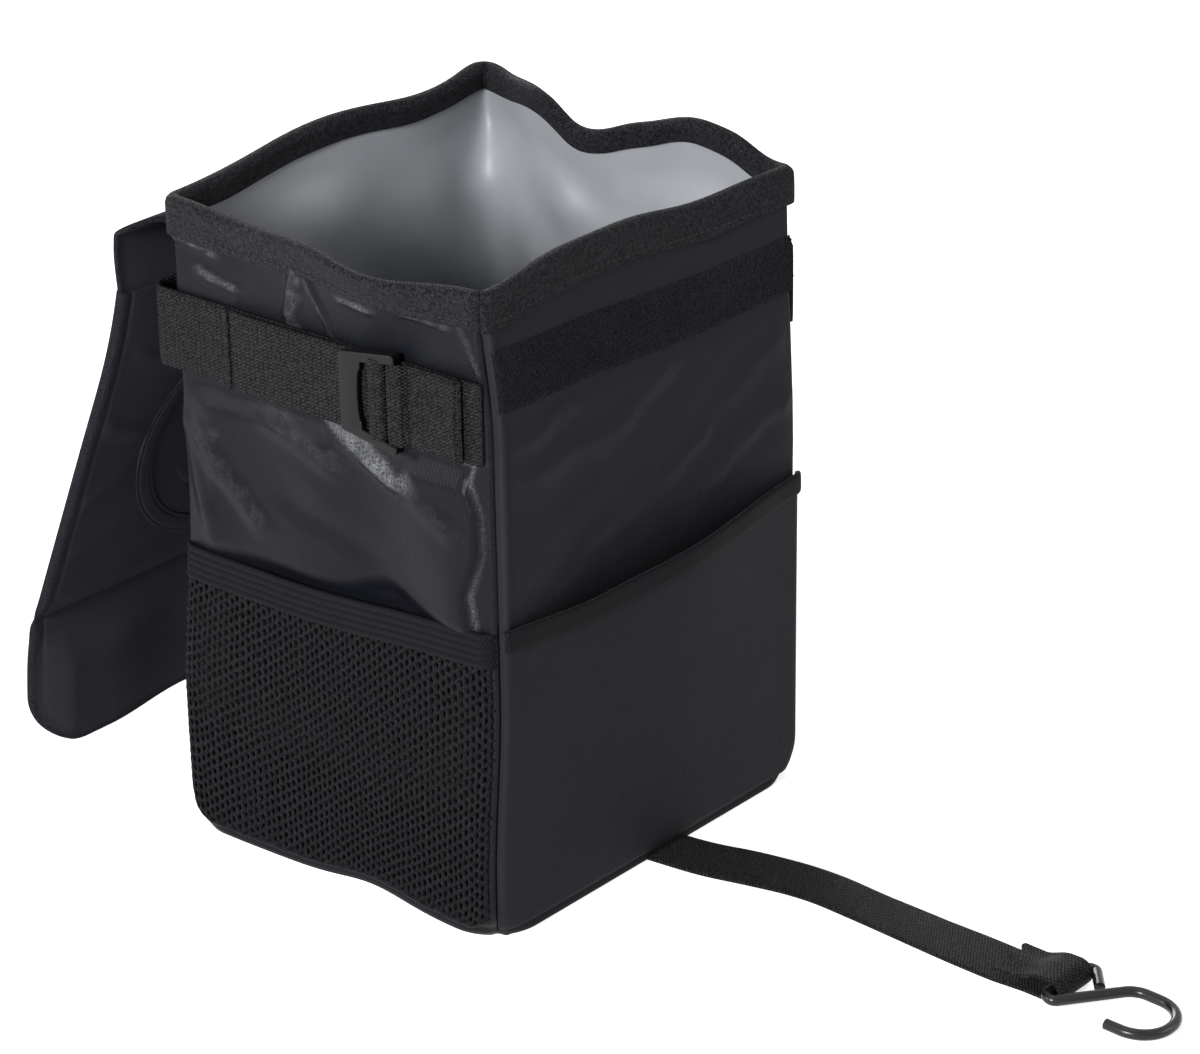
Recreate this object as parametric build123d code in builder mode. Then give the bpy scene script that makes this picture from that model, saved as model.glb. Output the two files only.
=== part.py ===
from build123d import *
from functools import cache
import cmath
import math
import os

os.makedirs("parts", exist_ok=True)

# Bag: a soft open box, +Z up, front towards -Y, origin at the middle of the base on the floor
bag_width = 170
bag_depth = 150
bag_height = 250
corner_radius = 5
foot_radius = 20
foot_tuck = 5
foot_height = 18
wall = 2.0
seam_gap = 0.3
seam_inset = 1.5
layer_gap = 0.3
net_gap = 0.5
mitre_reach = 60

# How far each wall of the mouth bows out at its quarter points, going round from front left
front_bow = (-3, -5, -4)
right_bow = (-5, -12, -13)
back_bow = (-1, 6, 4)
left_bow = (1, 8, 11)
# Each bow fades to nothing at this height
front_fade = 130
right_fade = 70
back_fade = 130
left_fade = 214
# Sag of the front and side walls behind their pockets
pocket_sag = 3
sag_half_height = 70
quarter_points = (0.25, 0.5, 0.75)
level_count = 9
foot_levels = 3
foot_margin = 9
least_radius = 1

# Base and liner
base_cloth = 2.0
board = 2.5
liner_wall = 0.8

# Rim tape, folded over the mouth
tape = 1.2
tape_depth = 14

# Fastening strips
loop_width = 20
loop_length = 158
loop_thick = 1.2
loop_drop = 28
strip_reach = 12
hook_length = 150
hook_thick = 1.2

# Front pocket
pocket_height = 120
pocket_cloth = 1.2
pocket_bulge = 7
pocket_foot = 16
bulge_power = 0.5
pocket_steps = (0, 0.33, 0.66, 1)
hem_depth = 12
hem_tape = 0.8

# Mesh pockets on both sides
mesh_height = 118
mesh_thick = 1.0
mesh_columns = 12
mesh_rows = 10
mesh_cell_width = 8.6
mesh_cell_height = 5.6
mesh_border = 9
rib_count = 5
rib_height = 0.5

# Headrest strap and ladder lock
strap_width = 30
strap_thick = 1.6
strap_top = 216
strap_standoff = 7
strap_turn = 7
strap_tail = 40
sewn_return = 24
buckle_bends = 4
buckle_end = -40
bar_a = 3.0
bar_b = 4.0
strap_slot = 4.5
lip_slot = 4.5
lip = 10.0
rail = 3.0
frame_thick = 2.4
lip_lift = 1.9
lip_notch = 1.6
buckle_round = 1.0

# Lid
lid_width = 180
lid_length = 160
lid_thick = 5
lid_corner = 4
fold_y = 157
fold_z = 64
lid_slope = 65.9
lid_lift = 6
flap_bend = 19
flap_length = 60
flap_thick = 4
flap_corner = 23
flap_close = 90
fold_setback = 0.5
fold_thick = 2
fold_taper = 10
front_clearance = 0.5
web_thick = 2.0
web_drop = 10
web_root = 4
web_step = 2
web_bend = 3
web_lap = 0.5

# Round mouth in the lid
ring_outer = 122
ring_width = 8
ring_thick = 1.2
ring_offset = 76
membrane_thick = 1.2
membrane_lap = 3
slit_half_angle = 42
slit_radius = 40
slit_width = 0.8

# Anchor strap on the floor and its wire hook
anchor_width = 25
anchor_end_width = 19.6
anchor_x = 15
anchor_thick = 1.6
floor_gap = 0.1
wire = 4
bar_length = 26.3
bar_y = -249
wire_bend = 3.2
shoulder = 4.5
shoulder_bend = 2.2
hook_reach = 46
jaw_radius = 12.5
jaw_round = 12
jaw_shift = 1
leg_drop = 22
leg_bend = 9
tip_drop = 26
free_end_back = 8.5
free_end_drop = 7
hook_lap = 22
lap_start = 3.7
lap_land = 14.7
bend_share = 0.45
anchor_route = ((-71.4, 0.9), (-90, 1.2), (-112, 4.2), (-138, 4.6), (-163, 1.9), (-190, 1.0), (-216, 1.3))

half_width = bag_width / 2
half_depth = bag_depth / 2
rim_z = bag_height - tape - layer_gap


def save(piece, name):
    piece.part.label = name
    export_step(piece.part, f"parts/{name}.step")


def foot_share(z):
    """One on the floor, falling to nothing where the walls stand straight."""
    return max(0, 1 - z / foot_height) ** 2


def bow_share(z, fade):
    return max(0, (z - fade) / (bag_height - fade)) ** 2


def sag_share(z):
    return max(0, 1 - ((z - pocket_height) / sag_half_height) ** 2) ** 2


def bowed_side(start, end, outward, bows, fade, sag, z):
    """One wall of the bag in plan, pushed in or out at its quarter points."""
    along = (end - start).normalized()
    points = [start]
    for step, bow in zip(quarter_points, bows):
        push = bow * bow_share(z, fade) - sag * sag_share(z)
        points.append(start + (end - start) * step + outward * push)
    points.append(end)
    Spline(*points, tangents=(along, along))
    return along


def bag_outline(z, inset):
    """The bag's plan at one height, moved in from the outer cloth."""
    tuck = foot_tuck * foot_share(z) + inset
    radius = max(corner_radius + (foot_radius - corner_radius) * foot_share(z) - inset, least_radius)
    x = half_width - tuck
    y = half_depth - tuck
    right = Vector(1, 0)
    back = Vector(0, 1)
    runs = (
        (Vector(radius - x, -y), Vector(x - radius, -y), -back, front_bow, front_fade, pocket_sag),
        (Vector(x, radius - y), Vector(x, y - radius), right, right_bow, right_fade, pocket_sag),
        (Vector(x - radius, y), Vector(radius - x, y), back, back_bow, back_fade, 0),
        (Vector(-x, y - radius), Vector(-x, radius - y), -right, left_bow, left_fade, pocket_sag),
    )
    for index, run in enumerate(runs):
        along = bowed_side(*run, z)
        TangentArc(run[1], runs[(index + 1) % len(runs)][0], tangent=along)


def bag_levels():
    """Heights of the plan sections: close together at the foot, even above it."""
    foot = [foot_height * step / foot_levels for step in range(foot_levels + 1)]
    start = foot_height + foot_margin
    return foot + [start + (bag_height - start) * step / level_count for step in range(level_count + 1)]


@cache
def bag_loft(inset):
    """A solid of the bag's full shape, moved in from the outer cloth."""
    with BuildPart() as form:
        for z in bag_levels():
            with BuildSketch(Plane.XY.offset(z)):
                with BuildLine():
                    bag_outline(z, inset)
                make_face()
        loft()
    return form.part


def bag_form(inset, bottom, top):
    """The bag's shape at one inset, cut between two heights."""
    with BuildPart() as form:
        add(bag_loft(inset))
        if bottom > 0:
            split(bisect_by=Plane.XY.offset(bottom), keep=Keep.TOP)
        if top < bag_height:
            split(bisect_by=Plane.XY.offset(top), keep=Keep.BOTTOM)
    return form.part


# Four wall panels, mitred at the corner seams
outer_form = bag_form(0, 0, rim_z)
inner_form = bag_form(wall, 0, rim_z)


def wall_panel(turn, across, away):
    """The part of the bag's wall that faces one way, between two mitred seams."""
    with BuildPart() as panel:
        add(outer_form)
        add(inner_form, mode=Mode.SUBTRACT)
        with BuildSketch(Plane.XY.rotated((0, 0, turn))):
            half = across / 2 - seam_gap / math.sqrt(2)
            reach = min(mitre_reach, across / 2 - seam_gap, away / 2)
            with BuildLine():
                Polyline(
                    (-half - mitre_reach, -away / 2 - mitre_reach),
                    (half + mitre_reach, -away / 2 - mitre_reach),
                    (half - reach, reach - away / 2),
                    (reach - half, reach - away / 2),
                    close=True,
                )
            make_face()
        extrude(amount=bag_height, mode=Mode.INTERSECT)
    return panel


front_panel = wall_panel(0, bag_width, bag_depth)
save(front_panel, "front_panel")
right_side_panel = wall_panel(90, bag_depth, bag_width)
save(right_side_panel, "right_side_panel")
back_panel = wall_panel(180, bag_width, bag_depth)
save(back_panel, "back_panel")
left_side_panel = wall_panel(270, bag_depth, bag_width)
save(left_side_panel, "left_side_panel")

# Base cloth and the stiff board on it
base_inset = wall + layer_gap
with BuildPart() as base_panel:
    add(bag_form(base_inset, 0, base_cloth))
save(base_panel, "base_panel")

board_bottom = base_cloth + layer_gap
board_top = board_bottom + board
with BuildPart() as base_board:
    add(bag_form(base_inset, board_bottom, board_top))
save(base_board, "base_board")

# Waterproof liner, a bag within the bag
liner_bottom = board_top + layer_gap
with BuildPart() as liner:
    add(bag_form(base_inset, liner_bottom, rim_z))
    add(bag_form(base_inset + liner_wall, liner_bottom + liner_wall, rim_z), mode=Mode.SUBTRACT)
save(liner, "liner")

# Rim tape: an outer leg, an inner leg and the fold over the top
tape_bottom = bag_height - tape_depth
tape_inside = base_inset + liner_wall + layer_gap
with BuildPart() as rim_binding:
    add(bag_form(-layer_gap - tape, tape_bottom, bag_height))
    add(bag_form(tape_inside + tape, tape_bottom, bag_height), mode=Mode.SUBTRACT)
    add(bag_form(-layer_gap, tape_bottom, bag_height - tape), mode=Mode.SUBTRACT)
    add(bag_form(tape_inside, tape_bottom, bag_height - tape))
    add(bag_form(tape_inside + tape, tape_bottom, bag_height), mode=Mode.SUBTRACT)
save(rim_binding, "rim_binding")

# Loop strip across the front, below the rim tape
loop_top = bag_height - loop_drop
with BuildPart() as loop_strip:
    add(bag_form(-layer_gap - loop_thick, loop_top - loop_width, loop_top))
    add(bag_form(-layer_gap, loop_top - loop_width, loop_top), mode=Mode.SUBTRACT)
    with BuildSketch(Plane.XZ.offset(half_depth)):
        with Locations((0, loop_top - loop_width / 2)):
            Rectangle(loop_length, loop_width)
    extrude(amount=strip_reach, both=True, mode=Mode.INTERSECT)
save(loop_strip, "loop_strip")

# Front pocket: a cloth sheet sewn at its sides and foot, bulging at its top
pocket_top = pocket_height
pocket_side = half_width - seam_inset


def pocket_plan(z, inner, cloth):
    """The pocket sheet in plan at one height, bulging more towards its open top."""
    bulge = pocket_bulge * ((z - pocket_foot) / (pocket_top - pocket_foot)) ** bulge_power
    y = -half_depth - inner
    for depth in (0, cloth):
        Spline((-pocket_side, y - depth), (0, y - depth - bulge), (pocket_side, y - depth))
    Line((-pocket_side, y), (-pocket_side, y - cloth))
    Line((pocket_side, y), (pocket_side, y - cloth))


def pocket_sheet(bottom, top, inner, cloth):
    with BuildPart() as sheet:
        for step in pocket_steps:
            z = bottom + (top - bottom) * step
            with BuildSketch(Plane.XY.offset(z)):
                with BuildLine():
                    pocket_plan(z, inner, cloth)
                make_face()
        loft()
    return sheet


front_pocket = pocket_sheet(pocket_foot, pocket_top, net_gap, pocket_cloth)
save(front_pocket, "front_pocket")

# Folded hem tape over the pocket's top edge
hem_bottom = pocket_top - hem_depth
hem_outside = net_gap + pocket_cloth + layer_gap
front_pocket_hem = pocket_sheet(hem_bottom, pocket_top, hem_outside, hem_tape)
save(front_pocket_hem, "front_pocket_hem")

# Mesh pockets: a taut net on each side with a ribbed elastic hem
mesh_length = bag_depth - 2 * seam_inset
mesh_face = half_width + net_gap
cell_pitch_y = (mesh_length - 2 * mesh_border) / mesh_columns
mesh_open = mesh_height - pocket_foot - hem_depth
cell_pitch_z = (mesh_open - mesh_border) / mesh_rows


def mesh_pocket(side):
    """A flat net with staggered slots, standing just off one side wall."""
    with BuildPart() as net:
        with BuildSketch(Plane.YZ.offset(side * mesh_face)):
            with Locations((0, (pocket_foot + mesh_height) / 2)):
                RectangleRounded(mesh_length, mesh_height - pocket_foot, corner_radius)
            with Locations((0, pocket_foot + mesh_border / 2 + mesh_open / 2)):
                with GridLocations(cell_pitch_y, cell_pitch_z, mesh_columns, mesh_rows):
                    Rectangle(mesh_cell_width, mesh_cell_height, mode=Mode.SUBTRACT)
        extrude(amount=side * mesh_thick)
    return net


def mesh_hem(side):
    """Elastic tape on the net's top edge, with ribs along it."""
    face = side * (mesh_face + mesh_thick + layer_gap)
    rib_pitch = hem_depth / rib_count
    with BuildPart() as hem:
        with BuildSketch(Plane.YZ.offset(face)):
            with Locations((0, mesh_height - hem_depth / 2)):
                Rectangle(mesh_length, hem_depth)
        extrude(amount=side * hem_tape)
        with BuildSketch(Plane.YZ.offset(face + side * hem_tape)):
            with Locations((0, mesh_height - hem_depth / 2)):
                with GridLocations(0, rib_pitch, 1, rib_count):
                    Rectangle(mesh_length, rib_pitch / 2)
        extrude(amount=side * rib_height)
    return hem


left_mesh_pocket = mesh_pocket(-1)
save(left_mesh_pocket, "left_mesh_pocket")
left_mesh_hem = mesh_hem(-1)
save(left_mesh_hem, "left_mesh_hem")
right_mesh_pocket = mesh_pocket(1)
save(right_mesh_pocket, "right_mesh_pocket")
right_mesh_hem = mesh_hem(1)
save(right_mesh_hem, "right_mesh_hem")

# Headrest strap and ladder lock on the left wall; the strap layers are counted out from the wall
strap_bottom = strap_top - strap_width
strap_plane = Plane.XY.offset(strap_bottom)
first_layer = half_width + layer_gap + strap_thick / 2
frame_inner = first_layer + strap_thick / 2 + layer_gap
frame_outer = frame_inner + frame_thick
over_bar = frame_outer + layer_gap + strap_thick / 2
second_layer = first_layer + strap_thick + layer_gap
strap_pad = layer_gap + strap_thick / 2
bar_a_start = buckle_end
bar_a_end = bar_a_start + bar_a
bar_b_start = bar_a_end + strap_slot
bar_b_end = bar_b_start + bar_b
lip_start = bar_b_end + lip_slot
lip_end = lip_start + lip
strap_end_y = half_depth - seam_inset
strap_turn_radius = strap_thick / 2 + layer_gap
tail_slope = over_bar - second_layer


def webbing(points, radius):
    """A flat strap standing on edge along a plan line."""
    with BuildPart() as strap:
        with BuildSketch(strap_plane):
            with BuildLine():
                FilletPolyline(*points, radius=radius)
            trace(line_width=strap_thick)
        extrude(amount=strap_width)
    return strap


strap_anchor = webbing(
    (
        (-first_layer, -strap_end_y),
        (-first_layer, bar_a_end + strap_pad),
        (-over_bar, bar_a_end + strap_pad),
        (-over_bar, bar_a_start - strap_pad),
        (-second_layer, bar_a_start - strap_pad - tail_slope),
        (-second_layer, bar_a_start - strap_pad - tail_slope - sewn_return),
    ),
    strap_turn_radius,
)
save(strap_anchor, "strap_anchor")

back_run = half_depth + strap_standoff + strap_thick + layer_gap
strap_radii = [strap_turn, strap_turn] + [strap_turn_radius] * buckle_bends
with BuildPart() as headrest_strap:
    with BuildSketch(strap_plane):
        with BuildLine():
            FilletPolyline(
                (first_layer, -strap_end_y),
                (first_layer, back_run),
                (-first_layer, back_run),
                (-first_layer, bar_b_start - strap_pad),
                (-over_bar, bar_b_start - strap_pad),
                (-over_bar, bar_b_end + layer_gap),
                (-second_layer, bar_b_end + layer_gap + tail_slope),
                (-second_layer, strap_tail),
                radius=strap_radii,
            )
        trace(line_width=strap_thick)
    extrude(amount=strap_width)
save(headrest_strap, "headrest_strap")

# Ladder lock: two rails, two bars that the straps wrap, and a raised lip over both strap layers
rail_inner = strap_width / 2 + layer_gap
buckle_height = 2 * (rail_inner + rail)
buckle_mid_y = (bar_a_start + lip_end) / 2
strap_mid_z = strap_bottom + strap_width / 2
buckle_thick = frame_thick + lip_lift
with BuildPart() as ladder_lock:
    with BuildSketch(Plane.YZ.offset(-frame_inner)):
        with Locations((buckle_mid_y, strap_mid_z)):
            RectangleRounded(lip_end - bar_a_start, buckle_height, rail / 2)
        with Locations(((bar_a_end + bar_b_start) / 2, strap_mid_z)):
            Rectangle(strap_slot, 2 * rail_inner, mode=Mode.SUBTRACT)
        with Locations(((bar_b_end + lip_start) / 2, strap_mid_z)):
            Rectangle(lip_slot, 2 * rail_inner, mode=Mode.SUBTRACT)
        with Locations((lip_start, strap_mid_z)):
            Ellipse(lip_notch, rail_inner - rail, mode=Mode.SUBTRACT)
    extrude(amount=-buckle_thick)
    with BuildSketch(Plane.YZ.offset(-frame_outer)):
        with Locations(((bar_a_start + bar_b_end) / 2, strap_mid_z)):
            Rectangle(bar_b_end - bar_a_start, 2 * rail_inner)
    extrude(amount=-buckle_thick, mode=Mode.SUBTRACT)
    with BuildSketch(Plane.YZ.offset(-frame_inner)):
        with Locations(((lip_start + lip_end) / 2, strap_mid_z)):
            Rectangle(lip + 2 * lip_notch, 2 * rail_inner)
    extrude(amount=-lip_lift, mode=Mode.SUBTRACT)
    outer_rim = ladder_lock.faces().sort_by(Axis.X)[0].outer_wire().edges()
    fillet(outer_rim, radius=buckle_round / 2)
save(ladder_lock, "ladder_lock")

# Lid: hangs open behind the bag. Its inner face holds the fold axis of the front flap
fold = Vector(0, fold_y, fold_z)


def lid_frame(lean):
    """A plane on the lid's inner face: X across, Y up along the lid, Z out of its top face."""
    angle = math.radians(lean)
    return Plane(fold, x_dir=(1, 0, 0), z_dir=(0, -math.sin(angle), -math.cos(angle)))


def tapered_sheet(plane, near, far, thick):
    """A padded sheet that thins to plain cloth where it folds."""
    taper = math.copysign(fold_taper, far)
    with BuildSketch(Plane(plane.origin, x_dir=plane.y_dir, z_dir=plane.x_dir)) as profile:
        with BuildLine():
            Polyline((near, 0), (far, 0), (far, thick), (taper, thick), (near, fold_thick), close=True)
        make_face()
    extrude(profile.sketch, amount=lid_width / 2, both=True)


def rounded_end(plane, far, radius, thick):
    """Trims a sheet to its width and rounds the two corners at its far end."""
    with BuildSketch(plane) as outline:
        with Locations((0, far / 2)):
            Rectangle(lid_width, abs(far))
        far_corners = outline.vertices().sort_by_distance((0, far))[:2]
        fillet(far_corners, radius=radius)
    extrude(outline.sketch, amount=thick, mode=Mode.INTERSECT)


lid_plane = lid_frame(lid_slope)
ring_bore = ring_outer - 2 * ring_width
membrane_size = ring_bore + 2 * membrane_lap
seat_depth = membrane_thick + layer_gap
with BuildPart() as lid_panel:
    tapered_sheet(lid_plane, fold_setback, lid_length, lid_thick)
    rounded_end(lid_plane, lid_length, lid_corner, lid_thick)
    with BuildSketch(lid_plane):
        with Locations((0, ring_offset)):
            Circle(ring_bore / 2)
    extrude(amount=lid_thick, mode=Mode.SUBTRACT)
    with BuildSketch(lid_plane.offset(lid_thick - seat_depth)):
        with Locations((0, ring_offset)):
            Circle(membrane_size / 2 + layer_gap)
    extrude(amount=seat_depth, mode=Mode.SUBTRACT)
save(lid_panel, "lid_panel")

# Sewn ring round the mouth in the lid, over the edge of the slit membrane
with BuildPart() as lid_opening_ring:
    with BuildSketch(lid_plane.offset(lid_thick + layer_gap)):
        with Locations((0, ring_offset)):
            Circle(ring_outer / 2)
            Circle(ring_bore / 2, mode=Mode.SUBTRACT)
    extrude(amount=ring_thick)
save(lid_opening_ring, "lid_opening_ring")

with BuildPart() as lid_membrane:
    with BuildSketch(lid_plane.offset(lid_thick - membrane_thick)):
        with Locations((0, ring_offset)):
            Circle(membrane_size / 2)
        with BuildLine():
            CenterArc((0, ring_offset), slit_radius, -90 - slit_half_angle, 2 * slit_half_angle)
        trace(line_width=slit_width, mode=Mode.SUBTRACT)
    extrude(amount=membrane_thick)
save(lid_membrane, "lid_membrane")

# Front flap of the lid, bent back a little at rest, with the hook strip on its inner face
flap_plane = lid_frame(lid_slope + flap_bend)
with BuildPart() as lid_flap:
    tapered_sheet(flap_plane, -fold_setback, -flap_length, flap_thick)
    rounded_end(flap_plane, -flap_length, flap_corner, flap_thick)
save(lid_flap, "lid_flap")

hook_drop = lid_lift + loop_drop + loop_width / 2
with BuildPart() as hook_strip:
    with BuildSketch(flap_plane.offset(-layer_gap)):
        with Locations((0, -hook_drop)):
            Rectangle(hook_length, loop_width)
    extrude(amount=-hook_thick)
save(hook_strip, "hook_strip")

# The lid turns about one line behind the rim, which carries the fold to its place over the front
strip_stack = max(loop_thick, tape) + hook_thick + 2 * layer_gap
closed_fold = complex(-half_depth - strip_stack - front_clearance, bag_height + lid_lift)
lid_turn = 180 + lid_slope
turn = cmath.rect(1, math.radians(lid_turn))
hinge_line = (closed_fold - turn * complex(fold_y, fold_z)) / (1 - turn)
print(f"lid hinge at y {hinge_line.real:.3f} z {hinge_line.imag:.3f}, turns {lid_turn:.2f} degrees")
print(f"flap fold at y {fold_y:.3f} z {fold_z:.3f}, turns {flap_close + flap_bend:.2f} degrees")

# Cloth web from the back wall, over the top and down to the lid's upper edge
web_top = bag_height - web_drop
back_wall = half_depth + max(back_bow) * bow_share(web_top, back_fade)
web_wall = back_wall + layer_gap + tape + layer_gap + web_thick / 2
lid_end = lid_plane.from_local_coords((0, lid_length + layer_gap + web_lap, lid_thick / 2))
with BuildPart() as lid_hinge_web:
    with BuildSketch(Plane.YZ):
        with BuildLine():
            FilletPolyline(
                (web_wall - web_step, strap_top + web_root),
                (web_wall, bag_height - tape_depth - web_root),
                (web_wall, web_top),
                (lid_end.Y + web_step, web_top),
                (lid_end.Y + web_step, (web_top + lid_end.Z) / 2),
                (lid_end.Y, lid_end.Z),
                radius=web_bend,
            )
        trace(line_width=web_thick)
    extrude(amount=lid_width / 2 - lid_corner, both=True)
save(lid_hinge_web, "lid_hinge_web")

# Anchor strap: lies on the floor in low waves and folds back round the hook's bar
bar_z = floor_gap + anchor_thick + layer_gap + wire / 2
loop_radius = wire / 2 + layer_gap + anchor_thick / 2
floor_line = bar_z - loop_radius


def bend_radii(points):
    """The largest arc that each corner of a route leaves room for."""
    radii = []
    for before, here, after in zip(points, points[1:], points[2:]):
        half_turn = math.radians((here - before).get_angle(after - here)) / 2
        radii.append(bend_share * min((here - before).length, (after - here).length) / math.tan(half_turn))
    return radii


route = [Vector(y, z) for y, z in anchor_route] + [Vector(bar_y, floor_line)]
route_radii = bend_radii(route)
print("anchor strap radii", [round(radius) for radius in route_radii])
lap_line = floor_line + anchor_thick + 2 * layer_gap
lap_points = (
    Vector(bar_y, bar_z + loop_radius),
    Vector(bar_y + lap_start, bar_z + loop_radius),
    Vector(bar_y + lap_land, lap_line),
    Vector(bar_y + hook_lap, lap_line + layer_gap),
)
with BuildPart() as anchor_strap:
    with BuildSketch(Plane.YZ.offset(anchor_x - anchor_width / 2)):
        with BuildLine():
            FilletPolyline(*route, radius=route_radii)
            CenterArc((bar_y, bar_z), loop_radius, -90, -180)
            FilletPolyline(*lap_points, radius=loop_radius)
        trace(line_width=anchor_thick)
    extrude(amount=anchor_width)
    with BuildSketch(Plane.XY):
        with BuildLine():
            Polyline(
                (anchor_x - anchor_width / 2, 0),
                (anchor_x + anchor_width / 2, 0),
                (anchor_x + anchor_width / 2, bar_y + hook_lap),
                (anchor_x + anchor_end_width / 2, bar_y + hook_lap / 2),
                (anchor_x + anchor_end_width / 2, bar_y - wire_bend - anchor_width),
                (anchor_x - anchor_end_width / 2, bar_y - wire_bend - anchor_width),
                (anchor_x - anchor_end_width / 2, bar_y + hook_lap / 2),
                (anchor_x - anchor_width / 2, bar_y + hook_lap),
                close=True,
            )
        make_face()
    extrude(amount=bag_height, mode=Mode.INTERSECT)
save(anchor_strap, "anchor_strap")

# Wire hook: a bar in the strap's fold, a triangle and an open jaw, its far end resting on the floor
hook_dip = math.degrees(math.asin((bar_z - floor_gap - wire / 2) / hook_reach))
hook_plane = Plane((anchor_x, bar_y, bar_z), x_dir=(1, 0, 0)).rotated((hook_dip, 0, 0))
half_bar = bar_length / 2
jaw_bottom = wire / 2 - hook_reach
with BuildPart() as anchor_hook:
    with BuildLine(hook_plane) as hook_line:
        FilletPolyline(
            (half_bar - free_end_back, -shoulder - free_end_drop),
            (half_bar, -shoulder),
            (half_bar, 0),
            (-half_bar, 0),
            (-half_bar, -shoulder),
            (jaw_radius - jaw_shift, -leg_drop),
            (jaw_radius - jaw_shift, jaw_bottom),
            (-jaw_radius - jaw_shift, jaw_bottom),
            (-jaw_radius - jaw_shift, -tip_drop),
            radius=[shoulder_bend, wire_bend, wire_bend, shoulder_bend, leg_bend, jaw_round, jaw_round],
        )
    with BuildSketch(Plane(hook_line.line @ 0, z_dir=hook_line.line % 0)):
        Circle(wire / 2)
    sweep()
save(anchor_hook, "anchor_hook")
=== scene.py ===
# %% [markdown]
# # A soft bin for a car
# The solids of this bin fix every size. This lesson dresses them: each cloth wall, strap, net and pad
# becomes a piece of its own with folds, stitches and a woven finish, and it stays where its solid is.

# %% Load the frame
import math
import bpy
import numpy as np
from mathutils import Matrix, Vector


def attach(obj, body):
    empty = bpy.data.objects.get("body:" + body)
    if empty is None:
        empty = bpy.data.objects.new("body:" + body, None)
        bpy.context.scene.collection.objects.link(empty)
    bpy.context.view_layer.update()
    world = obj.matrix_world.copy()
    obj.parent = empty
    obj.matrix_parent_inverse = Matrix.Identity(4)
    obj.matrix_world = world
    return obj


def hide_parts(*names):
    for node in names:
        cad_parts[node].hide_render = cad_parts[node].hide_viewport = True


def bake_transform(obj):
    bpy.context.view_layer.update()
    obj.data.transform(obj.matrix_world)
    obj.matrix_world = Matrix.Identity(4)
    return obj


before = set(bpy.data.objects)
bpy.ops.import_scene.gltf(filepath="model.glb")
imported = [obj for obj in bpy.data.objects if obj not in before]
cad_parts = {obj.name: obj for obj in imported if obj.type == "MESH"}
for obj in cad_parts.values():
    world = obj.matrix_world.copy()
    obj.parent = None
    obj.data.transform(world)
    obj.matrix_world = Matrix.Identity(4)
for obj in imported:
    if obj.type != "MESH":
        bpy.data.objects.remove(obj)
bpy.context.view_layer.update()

# %% [markdown]
# The photograph was taken from the front left, a little above the rim, with a long lens and a slight tilt.
# The camera is turned by its three axes: what is right, what is up, and the way back to the eye.

# %% Camera
azimuth, elevation, roll = (math.radians(a) for a in (-49.334, 23.946, -0.995))
aim = Vector((0.0050, -0.0484, 0.125))
eye_distance = 1.4534
back_to_eye = Vector((
    math.sin(azimuth) * math.cos(elevation),
    -math.cos(azimuth) * math.cos(elevation),
    math.sin(elevation),
))
level = Vector((math.cos(azimuth), math.sin(azimuth), 0))
upright = back_to_eye.cross(level)
right = level * math.cos(roll) + upright * math.sin(roll)
up = upright * math.cos(roll) - level * math.sin(roll)
bpy.ops.object.camera_add()
camera = bpy.context.object
camera.name = "photo_camera"
camera.data.sensor_width = 36
camera.data.lens = 120
turned = Matrix((right, up, back_to_eye)).transposed().to_4x4()
camera.matrix_world = Matrix.Translation(aim + back_to_eye * eye_distance) @ turned
bpy.context.scene.camera = camera
bpy.context.scene.view_settings.view_transform = "Standard"
print("camera at", tuple(round(c, 3) for c in camera.matrix_world.translation))

# %% [markdown]
# The bin stands on plain white paper under broad soft lamps. The paper and the world are brighter for the
# rays that the eye, a gloss or a clear film sends out. So the ground looks white, and no more light falls on
# the bin.


# %% Floor, world and lamps
def seen_rays(tree):
    """One for the rays that carry the background to the eye, nothing for those that light the object."""
    path = tree.nodes.new("ShaderNodeLightPath")
    either = tree.nodes.new("ShaderNodeMath")
    either.operation = "MAXIMUM"
    tree.links.new(path.outputs["Is Camera Ray"], either.inputs[0])
    tree.links.new(path.outputs["Is Glossy Ray"], either.inputs[1])
    both = tree.nodes.new("ShaderNodeMath")
    both.operation = "MAXIMUM"
    tree.links.new(either.outputs[0], both.inputs[0])
    tree.links.new(path.outputs["Is Transmission Ray"], both.inputs[1])
    return both.outputs[0]


def scaled(tree, value, factor, offset):
    """A value times a factor, plus an offset."""
    node = tree.nodes.new("ShaderNodeMath")
    node.operation = "MULTIPLY_ADD"
    tree.links.new(value, node.inputs[0])
    node.inputs[1].default_value = factor
    node.inputs[2].default_value = offset
    return node.outputs[0]


def soft_lamp(name, place, size, power):
    """A square lamp that faces the middle of the bin."""
    bpy.ops.object.light_add(type="AREA", location=place)
    lamp = bpy.context.object
    lamp.name = name
    lamp.data.size = size
    lamp.data.energy = power
    lamp.rotation_euler = (Vector((0, 0, 0.12)) - Vector(place)).to_track_quat("-Z", "Y").to_euler()


bpy.ops.object.select_all(action="DESELECT")
bpy.ops.mesh.primitive_plane_add(size=8, location=(0, 0, -0.0004))
floor = bpy.context.object
floor.name = "white_paper"
paper = bpy.data.materials.new("white_paper")
paper.use_nodes = True
paper_shader = paper.node_tree.nodes["Principled BSDF"]
paper_shader.inputs["Base Color"].default_value = (0.85, 0.85, 0.85, 1)
paper_shader.inputs["Roughness"].default_value = 0.95
paper_shader.inputs["Specular IOR Level"].default_value = 0
paper_shader.inputs["Emission Color"].default_value = (1, 1, 1, 1)
paper_glow = scaled(paper.node_tree, seen_rays(paper.node_tree), 0.74, 0)
paper.node_tree.links.new(paper_glow, paper_shader.inputs["Emission Strength"])
floor.data.materials.append(paper)

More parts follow.
